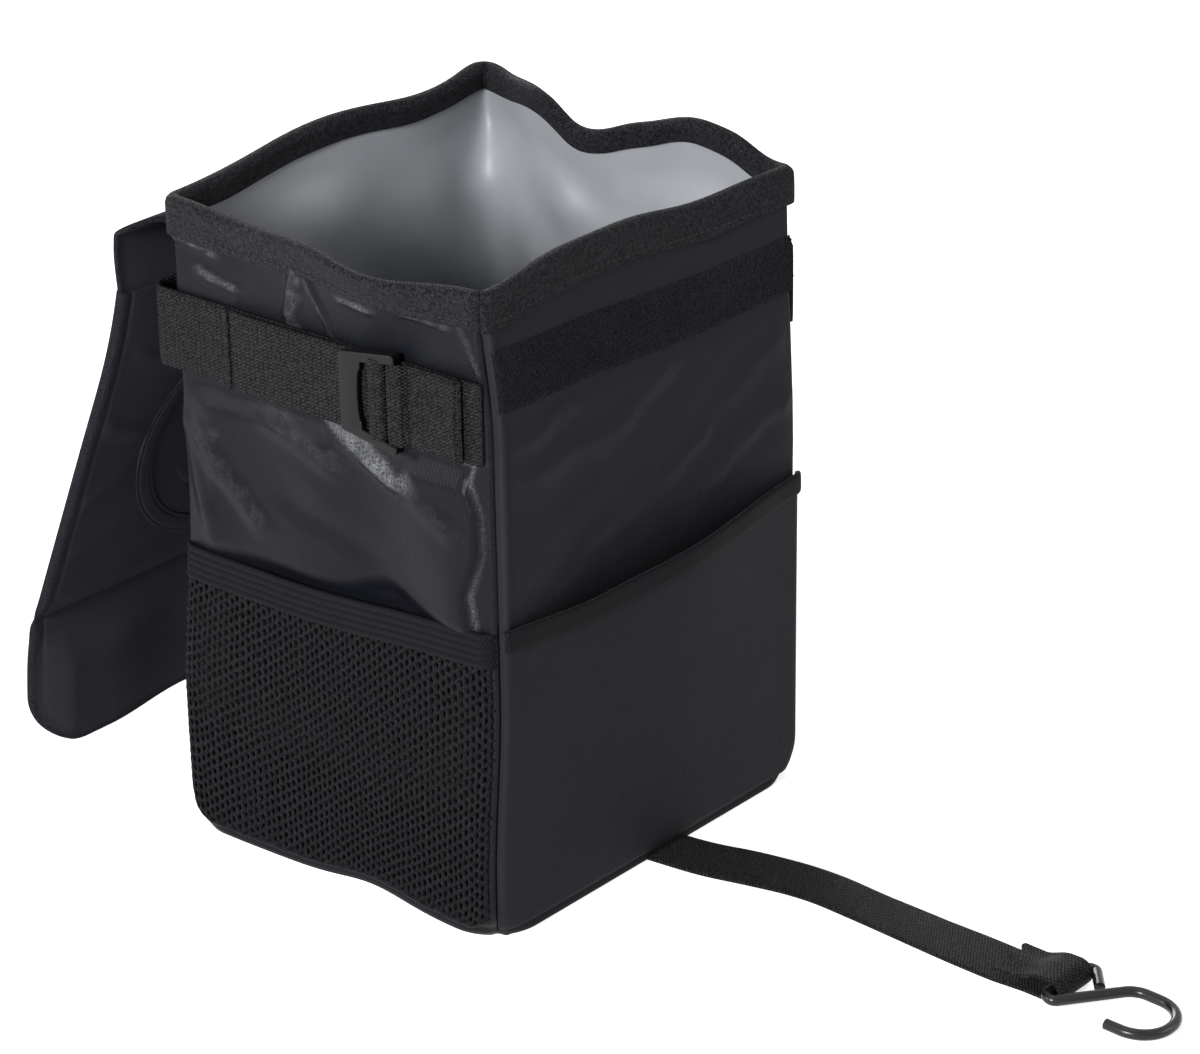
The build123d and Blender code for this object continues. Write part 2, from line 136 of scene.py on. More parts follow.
world = bpy.data.worlds.new("white_room")
bpy.context.scene.world = world
world.use_nodes = True
sky = world.node_tree.nodes["Background"]
sky.inputs["Color"].default_value = (1, 1, 1, 1)
sky_glow = scaled(world.node_tree, seen_rays(world.node_tree), 0.88, 0.12)
world.node_tree.links.new(sky_glow, sky.inputs["Strength"])

soft_lamp("key_lamp", (-1.54, -0.27, 0.80), 0.42, 36)
soft_lamp("fill_lamp", (0.8, -1.4, 0.8), 1.0, 7)
soft_lamp("rim_lamp", (-1.2, 0.95, 0.65), 0.35, 7)
soft_lamp("top_lamp", (0.0, 0.1, 1.8), 0.6, 2)
soft_lamp("back_lamp", (0.95, 1.25, 0.70), 0.8, 16)

# %% [markdown]
# Cloth is sewn from flat cuts, so every cloth piece here starts as a flat grid and is laid over the form of
# the bag. These small tools add the grid, move its points, give it thickness and hand it to its body.


# %% Tools for sewn pieces
def deselect():
    if bpy.context.mode != "OBJECT":
        bpy.ops.object.mode_set(mode="OBJECT")
    bpy.ops.object.select_all(action="DESELECT")


def make_active(piece):
    deselect()
    piece.select_set(True)
    bpy.context.view_layer.objects.active = piece


def points_of(piece):
    flat = np.empty(len(piece.data.vertices) * 3)
    piece.data.vertices.foreach_get("co", flat)
    return flat.reshape(-1, 3)


def move_points(piece, points):
    piece.data.vertices.foreach_set("co", np.ascontiguousarray(points).ravel())
    piece.data.update()


def merge_close(piece):
    """Joins the points that lie on one another, such as the two ends of a band."""
    make_active(piece)
    bpy.ops.object.mode_set(mode="EDIT")
    bpy.ops.mesh.select_all(action="SELECT")
    bpy.ops.mesh.remove_doubles(threshold=0.000005)
    bpy.ops.object.mode_set(mode="OBJECT")


def cloth_sheet(name, columns, rows, size, place, shading_mask=None):
    """A flat cut of cloth, laid where place(across, up) says; its UV map is in metres of the cut.
    The last argument, a function of across and up, gives how strongly light or shade is painted on each
    point, and is kept as an attribute."""
    deselect()
    bpy.ops.mesh.primitive_grid_add(x_subdivisions=columns, y_subdivisions=rows, size=1)
    piece = bpy.context.object
    piece.name = piece.data.name = name
    flat = points_of(piece)
    move_points(piece, place(flat[:, 0] + 0.5, flat[:, 1] + 0.5))
    if shading_mask:
        shading_attribute = piece.data.attributes.new("painted_shading", "FLOAT", "POINT")
        shading_attribute.data.foreach_set("value", np.clip(shading_mask(flat[:, 0] + 0.5, flat[:, 1] + 0.5), 0, 1))
    cut = piece.data.uv_layers.active.data
    map_points = np.empty(len(cut) * 2)
    cut.foreach_get("uv", map_points)
    cut.foreach_set("uv", (map_points.reshape(-1, 2) * np.array(size)).ravel())
    bpy.ops.object.shade_smooth()
    return piece


def ease(x):
    """Nothing below 0, one above 1, and smooth between."""
    x = np.clip(x, 0, 1)
    return x * x * (3 - 2 * x)


def bell(x, middle, width):
    """One at the middle, fading out to both sides."""
    return np.exp(-((x - middle) / width) ** 2)


def use_modifier(piece, kind, **settings):
    """Adds a modifier, sets it and applies it."""
    make_active(piece)
    modifier = piece.modifiers.new(kind.lower(), kind)
    for key, value in settings.items():
        setattr(modifier, key, value)
    bpy.ops.object.modifier_apply(modifier=modifier.name)


def thicken(piece, thickness, offset=-1):
    use_modifier(piece, "SOLIDIFY", thickness=thickness, offset=offset)


def paint(piece, material):
    piece.data.materials.clear()
    piece.data.materials.append(material)


def finish_node(node, material):
    """A solid of the frame that needs no more than its finish."""
    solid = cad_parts[node]
    paint(solid, material)
    return solid


def hand_over(piece, material, body, slot, *nodes):
    """Gives a finished piece its material, its body and the solids that it stands for; slot is not used."""
    paint(piece, material)
    if body:
        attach(piece, body)
    if nodes:
        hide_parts(*nodes)
    piece.data.calc_loop_triangles()
    print(f"{piece.name}: {len(piece.data.loop_triangles)} triangles")
    return piece


# %% [markdown]
# Nearly every finish here is a black textile, and what tells one from the next is its weave, its nap and its
# gloss. Two node groups carry that: one raises crossing threads, one gives the cloudy tone of worn fibre.


# %% Weave and fibre groups
def start_group(name, inputs, outputs):
    group = bpy.data.node_groups.new(name, "ShaderNodeTree")
    for label, kind, value in inputs:
        socket = group.interface.new_socket(label, in_out="INPUT", socket_type=kind)
        if value is not None:
            socket.default_value = value
    for label in outputs:
        group.interface.new_socket(label, in_out="OUTPUT", socket_type="NodeSocketFloat")
    return group, group.nodes.new("NodeGroupInput").outputs, group.nodes.new("NodeGroupOutput").inputs


def sums(tree, operation, *values):
    node = tree.nodes.new("ShaderNodeMath")
    node.operation = operation
    for socket, value in zip(node.inputs, values):
        if isinstance(value, (int, float)):
            socket.default_value = value
        else:
            tree.links.new(value, socket)
    return node.outputs[0]


weave, given, result = start_group(
    "crossing_threads",
    [("Vector", "NodeSocketVector", None), ("Warp", "NodeSocketFloat", 0.001),
     ("Weft", "NodeSocketFloat", 0.001), ("Lean", "NodeSocketFloat", 0.0)],
    ["Height"],
)
split = weave.nodes.new("ShaderNodeSeparateXYZ")
weave.links.new(given["Vector"], split.inputs[0])
across = sums(weave, "DIVIDE", split.outputs["X"], given["Warp"])
along = sums(weave, "DIVIDE", split.outputs["Y"], given["Weft"])
slanted = sums(weave, "ADD", across, sums(weave, "MULTIPLY", along, given["Lean"]))
warp_wave = sums(weave, "SINE", sums(weave, "MULTIPLY", slanted, 2 * math.pi))
weft_wave = sums(weave, "SINE", sums(weave, "MULTIPLY", along, 2 * math.pi))
crossing = sums(weave, "MULTIPLY", warp_wave, weft_wave)
weave.links.new(sums(weave, "MULTIPLY_ADD", crossing, 0.5, 0.5), result["Height"])

fibre, given, result = start_group(
    "worn_fibre",
    [("Vector", "NodeSocketVector", None), ("Cloud", "NodeSocketFloat", 40.0),
     ("Fuzz", "NodeSocketFloat", 2500.0)],
    ["Tone", "Nap"],
)
for label, scale, detail in (("Tone", "Cloud", 4), ("Nap", "Fuzz", 2)):
    noise = fibre.nodes.new("ShaderNodeTexNoise")
    noise.inputs["Detail"].default_value = detail
    fibre.links.new(given["Vector"], noise.inputs["Vector"])
    fibre.links.new(given[scale], noise.inputs["Scale"])
    fibre.links.new(noise.outputs["Fac"], result[label])
print("groups", weave.name, fibre.name)

# %% [markdown]
# One function makes every cloth from these groups. The names in each call say what sets the cloth apart: its
# two tones, how dull it is, the pitch of its threads in metres, and how much its nap, sheen and gloss count.


# %% Cloth finishes
def use_group(tree, group, **values):
    node = tree.nodes.new("ShaderNodeGroup")
    node.node_tree = group
    for label, value in values.items():
        if isinstance(value, (int, float)):
            node.inputs[label].default_value = value
        else:
            tree.links.new(value, node.inputs[label])
    return node.outputs


def textile(name, deep, pale, roughness, warp, weft, lean, relief, nap, sheen, gloss,
            coords="UV", fuzz=2500.0, mix=(0.45, 0.0, 0.9, -0.2), painted_shading=None):
    """A woven, knitted or brushed finish. mix says how far the threads, the nap and the clouds lift the tone;
    the last colour is painted light and shade where a piece's attribute marks it: a pale one paints
    highlights on the lit slopes of creases, a dark one paints shade on edges."""
    material = bpy.data.materials.new(name)
    material.use_nodes = True
    tree = material.node_tree
    shader = tree.nodes["Principled BSDF"]
    place = tree.nodes.new("ShaderNodeTexCoord").outputs
    threads = use_group(tree, weave, Vector=place[coords], Warp=warp, Weft=weft, Lean=lean)["Height"]
    worn = use_group(tree, fibre, Vector=place["Object"], Cloud=45.0, Fuzz=fuzz)
    tone = sums(tree, "MULTIPLY_ADD", worn["Tone"], mix[2], mix[3])
    tone = sums(tree, "MULTIPLY_ADD", worn["Nap"], mix[1], tone)
    tone = sums(tree, "MULTIPLY_ADD", threads, mix[0], tone)
    colour = mixed_colour(tree, tone, deep, pale)
    # Painted light and shade: the base colour turns to the given colour where the piece's attribute is set.
    if painted_shading:
        shading_attribute = tree.nodes.new("ShaderNodeAttribute")
        shading_attribute.attribute_name = "painted_shading"
        grain = sums(tree, "MULTIPLY_ADD", threads, 0.15, sums(tree, "MULTIPLY_ADD", worn["Nap"], 2.6, -0.75))
        colour = mixed_colour(tree, sums(tree, "MULTIPLY", shading_attribute.outputs["Fac"], grain), colour, painted_shading)
    tree.links.new(colour, shader.inputs["Base Color"])
    dullness = sums(tree, "MULTIPLY_ADD", worn["Tone"], 0.16, roughness - 0.08)
    tree.links.new(dullness, shader.inputs["Roughness"])
    bump = tree.nodes.new("ShaderNodeBump")
    bump.inputs["Distance"].default_value = relief
    tree.links.new(sums(tree, "MULTIPLY_ADD", worn["Nap"], nap, threads), bump.inputs["Height"])
    tree.links.new(bump.outputs["Normal"], shader.inputs["Normal"])
    shader.inputs["Sheen Weight"].default_value = sheen
    shader.inputs["Sheen Roughness"].default_value = 0.45
    shader.inputs["Specular IOR Level"].default_value = gloss
    return material


def mixed_colour(tree, factor, first, second):
    """One colour turning into another; each is a written colour or the output of a node."""
    node = tree.nodes.new("ShaderNodeMix")
    node.data_type = "RGBA"
    tree.links.new(factor, node.inputs["Factor"])
    for socket, value in ((node.inputs["A"], first), (node.inputs["B"], second)):
        if isinstance(value, tuple):
            socket.default_value = (*value, 1)
        else:
            tree.links.new(value, socket)
    return node.outputs["Result"]


# The matte and satin cloths carry a pale last colour: it is painted on as highlights where a piece marks
# them.
matte_cloth = textile(
    "matte_cloth", deep=(0.010, 0.0097, 0.0122), pale=(0.020, 0.0194, 0.0238), roughness=0.72,
    warp=0.0011, weft=0.0011, lean=1.0, relief=0.00009, nap=0.5, sheen=0.02, gloss=0.08,
    painted_shading=(0.075, 0.074, 0.084),
)
satin_cloth = textile(
    "satin_cloth", deep=(0.0040, 0.0043, 0.0062), pale=(0.0085, 0.0090, 0.0118), roughness=0.25,
    warp=0.0012, weft=0.0009, lean=1.0, relief=0.00005, nap=0.5, sheen=0.0, gloss=0.066, fuzz=1300.0,
    mix=(0.45, 1.0, 0.9, -0.7), painted_shading=(0.20, 0.205, 0.215),
)
# The lid cloth carries a very dark last colour: it is painted on as shade at the pad's edges and the web's
# sides.
lid_cloth = textile(
    "lid_cloth", deep=(0.0225, 0.0233, 0.0286), pale=(0.0350, 0.0361, 0.0434), roughness=0.9, warp=0.0007,
    weft=0.0007, lean=0.0, relief=0.00004, nap=1.2, sheen=0.0, gloss=0.05, painted_shading=(0.003, 0.0031, 0.0040),
)
woven_tape = textile(
    "woven_tape", deep=(0.002, 0.0019, 0.003), pale=(0.029, 0.0286, 0.0335), roughness=0.75, warp=0.0013,
    weft=0.0010, lean=0.0, relief=0.0004, nap=1.2, sheen=0.02, gloss=0.09, fuzz=900.0,
    mix=(0.5, 2.4, 0.3, -1.20),
)
elastic_band = textile(
    "elastic_band", deep=(0.0010, 0.0010, 0.0016), pale=(0.0112, 0.0110, 0.0135), roughness=0.72,
    warp=0.0011, weft=0.0027, lean=0.0, relief=0.00012, nap=0.4, sheen=0.01, gloss=0.08,
    mix=(0.7, 0.6, 0.3, -0.4),
)
webbing = textile(
    "webbing", deep=(0.001, 0.001, 0.0014), pale=(0.034, 0.0336, 0.0365), roughness=0.6, warp=0.0022,
    weft=0.0013, lean=0.0, relief=0.0006, nap=0.9, sheen=0.01, gloss=0.08, fuzz=1000.0,
    mix=(0.8, 2.0, 0.2, -1.25),
)
loop_pile = textile(
    "loop_pile", deep=(0.009, 0.0088, 0.0108), pale=(0.022, 0.0215, 0.0258), roughness=0.97, warp=0.0021,
    weft=0.0017, lean=0.3, relief=0.0004, nap=2.2, sheen=0.04, gloss=0.05, fuzz=1500.0,
)
hook_pile = textile(
    "hook_pile", deep=(0.008, 0.0079, 0.0095), pale=(0.022, 0.0217, 0.025), roughness=0.55, warp=0.0015,
    weft=0.0015, lean=0.0, relief=0.0005, nap=0.8, sheen=0.02, gloss=0.2,
)
net_yarn = textile(
    "net_yarn", deep=(0.001, 0.001, 0.0018), pale=(0.0112, 0.0109, 0.0134), roughness=0.66, warp=0.0009,
    weft=0.0009, lean=1.0, relief=0.00015, nap=1.0, sheen=0.01, gloss=0.08, coords="Object", fuzz=1000.0,
    mix=(0.3, 3.6, 0.3, -1.70),
)
thread = textile(
    "thread", deep=(0.008, 0.0078, 0.0095), pale=(0.022, 0.0216, 0.0245), roughness=0.55, warp=0.0006,
    weft=0.0006, lean=1.0, relief=0.00005, nap=0.6, sheen=0.02, gloss=0.15, coords="Object",
)
print("cloth finishes", len([m for m in bpy.data.materials if m.use_nodes]))

# %% [markdown]
# The lining is a grey waterproof film with a satin face, the buckle is moulded plastic with a fine grain,
# and the hook is steel wire in a thick black coat. Each is its own material, because they share no thread.


# %% Film, plastic and coated wire
def smooth_finish(name, deep, pale, roughness, cloud, relief, grain, coat, gloss):
    """A finish without threads: a cloudy tone, a fine grain and, on some, a clear coat."""
    material = bpy.data.materials.new(name)
    material.use_nodes = True
    tree = material.node_tree
    shader = tree.nodes["Principled BSDF"]
    place = tree.nodes.new("ShaderNodeTexCoord").outputs["Object"]
    worn = use_group(tree, fibre, Vector=place, Cloud=cloud, Fuzz=grain)
    tree.links.new(mixed_colour(tree, worn["Tone"], deep, pale), shader.inputs["Base Color"])
    dullness = sums(tree, "MULTIPLY_ADD", worn["Tone"], 0.14, roughness - 0.07)
    tree.links.new(dullness, shader.inputs["Roughness"])
    bump = tree.nodes.new("ShaderNodeBump")
    bump.inputs["Distance"].default_value = relief
    tree.links.new(worn["Nap"], bump.inputs["Height"])
    tree.links.new(bump.outputs["Normal"], shader.inputs["Normal"])
    shader.inputs["Coat Weight"].default_value = coat
    shader.inputs["Coat Roughness"].default_value = 0.2
    shader.inputs["Specular IOR Level"].default_value = gloss
    return material


liner_film = smooth_finish(
    "liner_film", deep=(0.115, 0.122, 0.136), pale=(0.385, 0.400, 0.425), roughness=0.46, cloud=14.0,
    relief=0.00002, grain=900.0, coat=0.0, gloss=0.5,
)
moulded_plastic = smooth_finish(
    "moulded_plastic", deep=(0.003, 0.0029, 0.0037), pale=(0.005, 0.0049, 0.0060), roughness=0.20,
    cloud=60.0, relief=0.00001, grain=3000.0, coat=0.0, gloss=0.16,
)
coated_wire = smooth_finish(
    "coated_wire", deep=(0.006, 0.006, 0.0068), pale=(0.011, 0.011, 0.012), roughness=0.27, cloud=80.0,
    relief=0.00002, grain=1800.0, coat=0.1, gloss=0.3,
)
grey_board = smooth_finish(
    "grey_board", deep=(0.10, 0.09, 0.08), pale=(0.16, 0.15, 0.13), roughness=0.9, cloud=50.0,
    relief=0.00006, grain=2500.0, coat=0.0, gloss=0.2,
)
print("smooth finishes made")

# %% [markdown]
# The strap on the floor is the one free cord: flat webbing about 22 mm wide and 179 mm long, sewn under the
# base and folded round the hook's bar. Its line is a NURBS spline with the same low waves as the solid.


# %% Anchor strap
def spline_points(name, points):
    """The points of a smooth line, read back from a curve that has no bevel."""
    curve = bpy.data.curves.new(name, "CURVE")
    curve.dimensions = "3D"
    curve.resolution_u = 24
    line = curve.splines.new("NURBS")
    line.points.add(len(points) - 1)
    for knot, point in zip(line.points, points):
        knot.co = (*point, 1)
    line.order_u = 3
    line.use_endpoint_u = True
    holder = bpy.data.objects.new(name, curve)
    bpy.context.collection.objects.link(holder)
    bpy.context.view_layer.update()
    read = bpy.data.meshes.new_from_object(holder.evaluated_get(bpy.context.evaluated_depsgraph_get()))
    result = np.array([v.co for v in read.vertices])
    bpy.data.objects.remove(holder)
    bpy.data.curves.remove(curve)
    bpy.data.meshes.remove(read)
    return result


def walk(points, share):
    """The place at each share of a line's length."""
    legs = np.linalg.norm(np.diff(points, axis=0), axis=1)
    run = np.concatenate([[0], np.cumsum(legs)])
    return np.stack([np.interp(share * run[-1], run, points[:, k]) for k in range(points.shape[1])], axis=1)


def length_of(points):
    """How long a line of points is."""
    return float(np.linalg.norm(np.diff(points, axis=0), axis=1).sum())


strap_x = 0.015
hook_bar_y = -0.249
strap_route = [
    (0.0080, -0.0714, 0.0009), (0.0092, -0.090, 0.0011), (0.0142, -0.112, 0.0020), (0.0188, -0.138, 0.0023),
    (0.0182, -0.163, 0.0014), (0.0172, -0.190, 0.0010), (0.0158, -0.216, 0.0013),
    (strap_x, hook_bar_y, 0.0009),
]
floor_line = spline_points("floor_line", strap_route)


def floor_strap(across, along):
    """Flat webbing along the floor line; it narrows towards the hook and never sinks into the floor."""
    line = walk(floor_line, along)
    ahead = walk(floor_line, np.clip(along + 0.01, 0, 1)) - walk(floor_line, np.clip(along - 0.01, 0, 1))
    beside = np.stack([-ahead[:, 1], ahead[:, 0]], axis=1)
    beside = beside / np.linalg.norm(ahead[:, :2], axis=1, keepdims=True)
    width = 0.0218 - 0.0022 * np.clip((-line[:, 1] - 0.226) / 0.012, 0, 1)
    edge = 2 * across - 1
    line[:, :2] += beside * (edge * width / 2)[:, None]
    twist = 0.0005 * edge * np.sin(along * 9) * ease((1 - along) / 0.3) * ease(along / 0.2)
    line[:, 2] += 0.0007 - 0.00025 * np.abs(edge) ** 6 + twist
    line[:, 2] = np.maximum(line[:, 2], 0.0014)
    return line


anchor_strap = cloth_sheet(
    "anchor_strap_webbing", 24, 180, (0.025, 0.178), lambda s, t: floor_strap(1 - s, t))
thicken(anchor_strap, 0.0014)
hand_over(anchor_strap, webbing, "bin", "webbing", "anchor_strap")
print("strap length", round(length_of(floor_line), 4))

# %% [markdown]
# The strap's end goes round the hook's bar and is sewn back on itself. A half turn and a flat lap, joined in
# one line, give that fold.


# %% Folded end of the anchor strap
def folded_end(across, along):
    """Round the hook's bar and back on top, to a frayed end."""
    turn = np.clip(along / 0.35, 0, 1) * math.pi
    lap = np.clip((along - 0.35) / 0.65, 0, 1)
    y = hook_bar_y - 0.0038 * np.sin(turn) + 0.0235 * lap
    z = 0.0040 - 0.0038 * np.cos(turn) - 0.0032 * ease((lap - 0.15) / 0.5)
    edge = 2 * across - 1
    ragged = 0.0012 * np.sin(edge * 9) * np.clip((lap - 0.8) / 0.2, 0, 1)
    crumple = 0.0006 * np.sin(edge * 5 + 1) * np.clip(lap / 0.5, 0, 1)
    return np.stack([strap_x + edge * (0.0098 + 0.0015 * lap), y + ragged, z + crumple], axis=1)


anchor_fold = cloth_sheet("anchor_strap_fold", 24, 60, (0.02, 0.035), lambda s, t: folded_end(1 - s, t))
thicken(anchor_fold, 0.0014)
hand_over(anchor_fold, webbing, "bin", "webbing")
hook = finish_node("anchor_hook", coated_wire)

# %% [markdown]
# The bag is a sewn box with soft walls. One function gives its form: which side, how far along it, how high,
# and how far the point stands proud of the cloth. The walls, lining, tape, strips and pockets all ask it, so
# they lie on one another as sewn layers do.

# %% Form of the bag
bag_height = 0.250
front_run = 0.168
ring_run = 0.64
# Each side: its way along, its way out, half its run, its distance out, its bows in mm, the height where they
# start, and its sag
sides = {
    "front": ((1, 0), (0, -1), 0.085, 0.075, (-3, -5, -4), 0.130, 3),
    "right": ((0, 1), (1, 0), 0.075, 0.085, (-5, -12, -13), 0.070, 3),
    "back": ((-1, 0), (0, 1), 0.085, 0.075, (-1, 6, 4), 0.130, 0),
    "left": ((0, -1), (-1, 0), 0.075, 0.085, (1, 8, 11), 0.214, 3),
}
# How far the rim rises above its level, in mm at five even places along each side
rim_rise = {
    "front": (-2.0, 0.3, -1.0, -3.5, -2.5),
    "right": (-2.5, 8.6, -0.5, 8.6, 6.0),
    "back": (6.0, 6.0, 6.2, 3.2, 1.5),
    "left": (1.5, -1.0, 1.0, -2.5, -2.0),
}
# Corners that swell low down: axis, the sides and ends that meet there, push, start height and reach
corner_swell = [
    (0, {"front": 1, "right": 0}, 0.0042, 0.13, 0.12), (1, {"left": 0, "back": 1}, 0.0072, 0.05, 0.09),
    (0, {"left": 0, "back": 1}, -0.0012, 0.05, 0.09),
]


def level_curve(values, t):
    """A smooth curve through five even values, level at both ends."""
    y = np.array(values, float)
    inner = np.linalg.solve(np.array([[4, 1, 0], [1, 4, 1], [0, 1, 4]], float), 12 * (y[2:] - y[:-2]))
    slope = np.concatenate([[0], inner, [0]])
    step = np.clip(np.floor(t * 4).astype(int), 0, 3)
    x = t * 4 - step
    return (
        (1 + 2 * x) * (1 - x) ** 2 * y[step] + x * (1 - x) ** 2 * slope[step] / 4
        + x * x * (3 - 2 * x) * y[step + 1] + x * x * (x - 1) * slope[step + 1] / 4
    )


def bag_point(side, share, z, proud, slackness=1):
    """A point of one wall; with no slackness the wall is taut, as a pocket sewn over it is."""
    along, outward, half_run, half_out, bows, fade, sag = sides[side]
    foot = np.clip(1 - z / 0.018, 0, 1) ** 2
    radius = 0.005 + 0.015 * foot
    run = half_run - radius
    arc = radius * math.pi / 4
    gone = share * (2 * run + 2 * arc)
    tilt = (np.clip((gone - arc - 2 * run) / arc, 0, 1) - 1 + np.clip(gone / arc, 0, 1)) * math.pi / 4
    t = np.clip((gone - arc) / (2 * run), 0, 1)
    bend = np.maximum(radius + proud, 0.0004)
    flat = np.minimum(radius + proud - 0.0004, 0)
    a = np.clip(gone - arc, 0, 2 * run) - run + bend * np.sin(tilt)
    a = a + flat * np.sign(tilt) * np.abs(np.sin(tilt))
    o = half_out - radius + bend * np.cos(tilt) + flat
    bow = np.clip((z - fade) / (bag_height - fade), 0, None) ** 2
    pull = np.clip(1 - ((z - 0.120) / 0.070) ** 2, 0, 1) ** 2
    sagged = sag * level_curve((0, 1, 1, 1, 0), t) * pull
    o = o + 0.001 * slackness * (level_curve((0, *bows, 0), t) * bow - sagged)
    point = np.stack(
        [along[0] * a + outward[0] * o, along[1] * a + outward[1] * o, z + np.zeros_like(a)], axis=1)
    high = {"left": 0.216, "right": 0.1, "front": 0.14, "back": 0.14}[side]
    point[:, 2] += 0.001 * level_curve(rim_rise[side], t) * ease((z - high) / (bag_height - high))
    peak = {"right": 1 - t, "back": t}.get(side)
    if peak is not None:
        point[:, 2] += 0.0023 * bell(peak, 0, 0.07) * ease((z - 0.20) / 0.05)
    if side == "right":
        wander = -3.0 * bell(t, 0.61, 0.07) + 2.2 * bell(t, 0.45, 0.07) + 1.5 * bell(t, 0.13, 0.06)
        point[:, 2] += 0.001 * wander * ease((z - 0.20) / 0.05)
    for corner, ends, push, start, reach in corner_swell:
        if side in ends:
            low = 1 - ease((z - start) / reach)
            point[:, corner] += push * low * bell(t if ends[side] == 0 else 1 - t, 0, 0.25)
    if side == "left":
        point[:, 2] += 0.0040 * bell(t, 0.62, 0.20) * (1 - ease(z / 0.05))
    near = {"front": t, "left": 1 - t}.get(side)
    if near is not None:
        swell = ease((z - 0.02) / 0.08) * (1 - ease((z - 0.195) / 0.05))
        point[:, 1] -= 0.0045 * swell * bell(near, 0, 0.22)
    return point


def mouth_point(q, z, proud):
    """A point on the whole ring of four walls, q going once round from the front left corner."""
    point = np.zeros((len(q), 3))
    index = np.clip(np.floor(q * 4 + 1e-9), 0, 3)
    for number, side in enumerate(sides):
        mine = index == number
        share = np.clip(q[mine] * 4 - number, 0, 1)
        point[mine] = bag_point(side, share, z[mine], (proud + np.zeros_like(q))[mine])
    return point


front_middle = bag_point("front", np.array([0.5]), np.array([bag_height]), np.array([0.0]))
print("front middle at the rim", front_middle.round(4))

# %% [markdown]
# Sewn cloth is never flat: it keeps the creases of packing and pulls towards its seams. Folds could be
# simulated, but then they fall anywhere. Here each one is pressed in as a stroke with a width and a
# height, and a few long waves with fixed angles stand for the slack.


# %% Folds and slack
def along_stroke(a, z, a0, z0, a1, z1, width):
    """Distance to the side of a stroke in metres, and how much of it is left past its ends."""
    a, z = a + 0.0022 * slack(a, z, 17, 0.03), z + 0.0026 * slack(a, z, 18, 0.026)
    da, dz = (a1 - a0) * 0.001, (z1 - z0) * 0.001
    size = math.hypot(da, dz)
    q = ((a - a0 * 0.001) * da + (z - z0 * 0.001) * dz) / size
    d = ((a - a0 * 0.001) * dz - (z - z0 * 0.001) * da) / size
    past = np.maximum(np.maximum(0.15 * size - q, q - 0.85 * size), 0) / (0.15 * size + width * 0.001)
    return d, np.exp(-2.5 * past ** 2)


def pressed_folds(a, z, strokes):
    """Each fold is a tent with one reach on its left, another on its right, and a slightly blunt ridge."""
    rise = np.zeros_like(a)
    for a0, z0, a1, z1, width, steep, height, *_ in strokes:
        d, kept = along_stroke(a, z, a0, z0, a1, z1, max(width, steep))
        slope = 1 - np.sqrt(np.where(d > 0, d / width, d / steep) ** 2 * 1e6 + 0.01)
        rise = rise + height * 0.001 * 0.5 * (slope + np.sqrt(slope ** 2 + 0.02)) * kept
    return rise


def fold_highlight_mask(a, z, strokes):
    """A painted highlight on the left slope of each fold that has one."""
    mask = np.zeros_like(a)
    for a0, z0, a1, z1, width, steep, height, highlight_strength in strokes:
        d, kept = along_stroke(a, z, a0, z0, a1, z1, width)
        ragged = 1 + 0.7 * slack(a, z, int(abs(a0) + z0), 0.012)
        share = d / (width * 0.001) * ragged
        patch = np.clip(0.85 + (1.2 - highlight_strength) * slack(a, z, int(abs(a1) + z1), 0.007), 0.2, 1.1)
        slope = ease((share + 0.12) / 0.2) * (1 - ease((share - 0.45) / 0.45))
        mask = np.maximum(mask, highlight_strength * patch * kept * slope)
    return mask


def slack(a, z, seed, reach):
    """Eight long waves at fixed angles, about reach long, between -1 and 1."""
    choice = np.random.default_rng(seed)
    total = np.zeros_like(a)
    for _ in range(8):
        angle, size = choice.uniform(0, math.pi), reach * choice.uniform(0.6, 1.7)
        phase = choice.uniform(0, 6.28)
        total = total + np.sin((a * math.cos(angle) + z * math.sin(angle)) * 2 * math.pi / size + phase)
    return total / 8


def seam_dip(share, depth=0.0011, reach=0.012):
    """Cloth turns in where it meets the next wall."""
    return -depth * (bell(share, 0, reach) + bell(1 - share, 0, reach))


def foot_seam(z):
    """The groove of the seam that joins a wall to the base."""
    return 0.0005 * bell(z, 0.004, 0.0012)


rim_z = 0.2485
# Each fold: from and to (mm along the wall, mm up), its reach to both sides, its height and the strength of
# the highlight painted on it
left_strokes = [
    (0, 184, -38, 168, 7, 4, 4.0, 0.72), (-42, 184, -68, 185.5, 3.4, 3, 2.0, 0.6),
    (-43, 166, -60, 158, 6, 6, 1.4, 0.06), (8, 241, 17, 218, 6.0, 3.0, 2.6, 0.22),
    (-5, 217, 4, 238, 2.6, 2.4, 1.8, 0.20), (76, 235, 49, 234, 2.4, 1.8, 1.4, 0.35),
    (60, 225, 40, 222, 2.8, 2.2, 1.5, 0.28), (-13, 231, -27, 233, 2.4, 2.0, 1.5, 0.36),
    (-40, 236, -62, 233, 2.6, 2.0, 1.5, 0.26), (67, 165, 33, 135, 8, 6, 1.7, 0.08),
    (30, 179, -6, 167, 9, 6, 1.6, 0.10), (74, 172, 60, 130, 6, 5, 1.2, 0.0),
    (20, 150, -20, 138, 10, 7, -1.0, 0.0), (-66, 236, -71, 219, 2.4, 2.0, 0.8, 0.16),
]
band_heights = (0.120, 0.125, 0.136, 0.153, 0.167, 0.179, 0.190)
band_edges = (-0.0670, -0.0675, -0.0655, -0.0715, -0.0710, -0.0660, -0.0695)


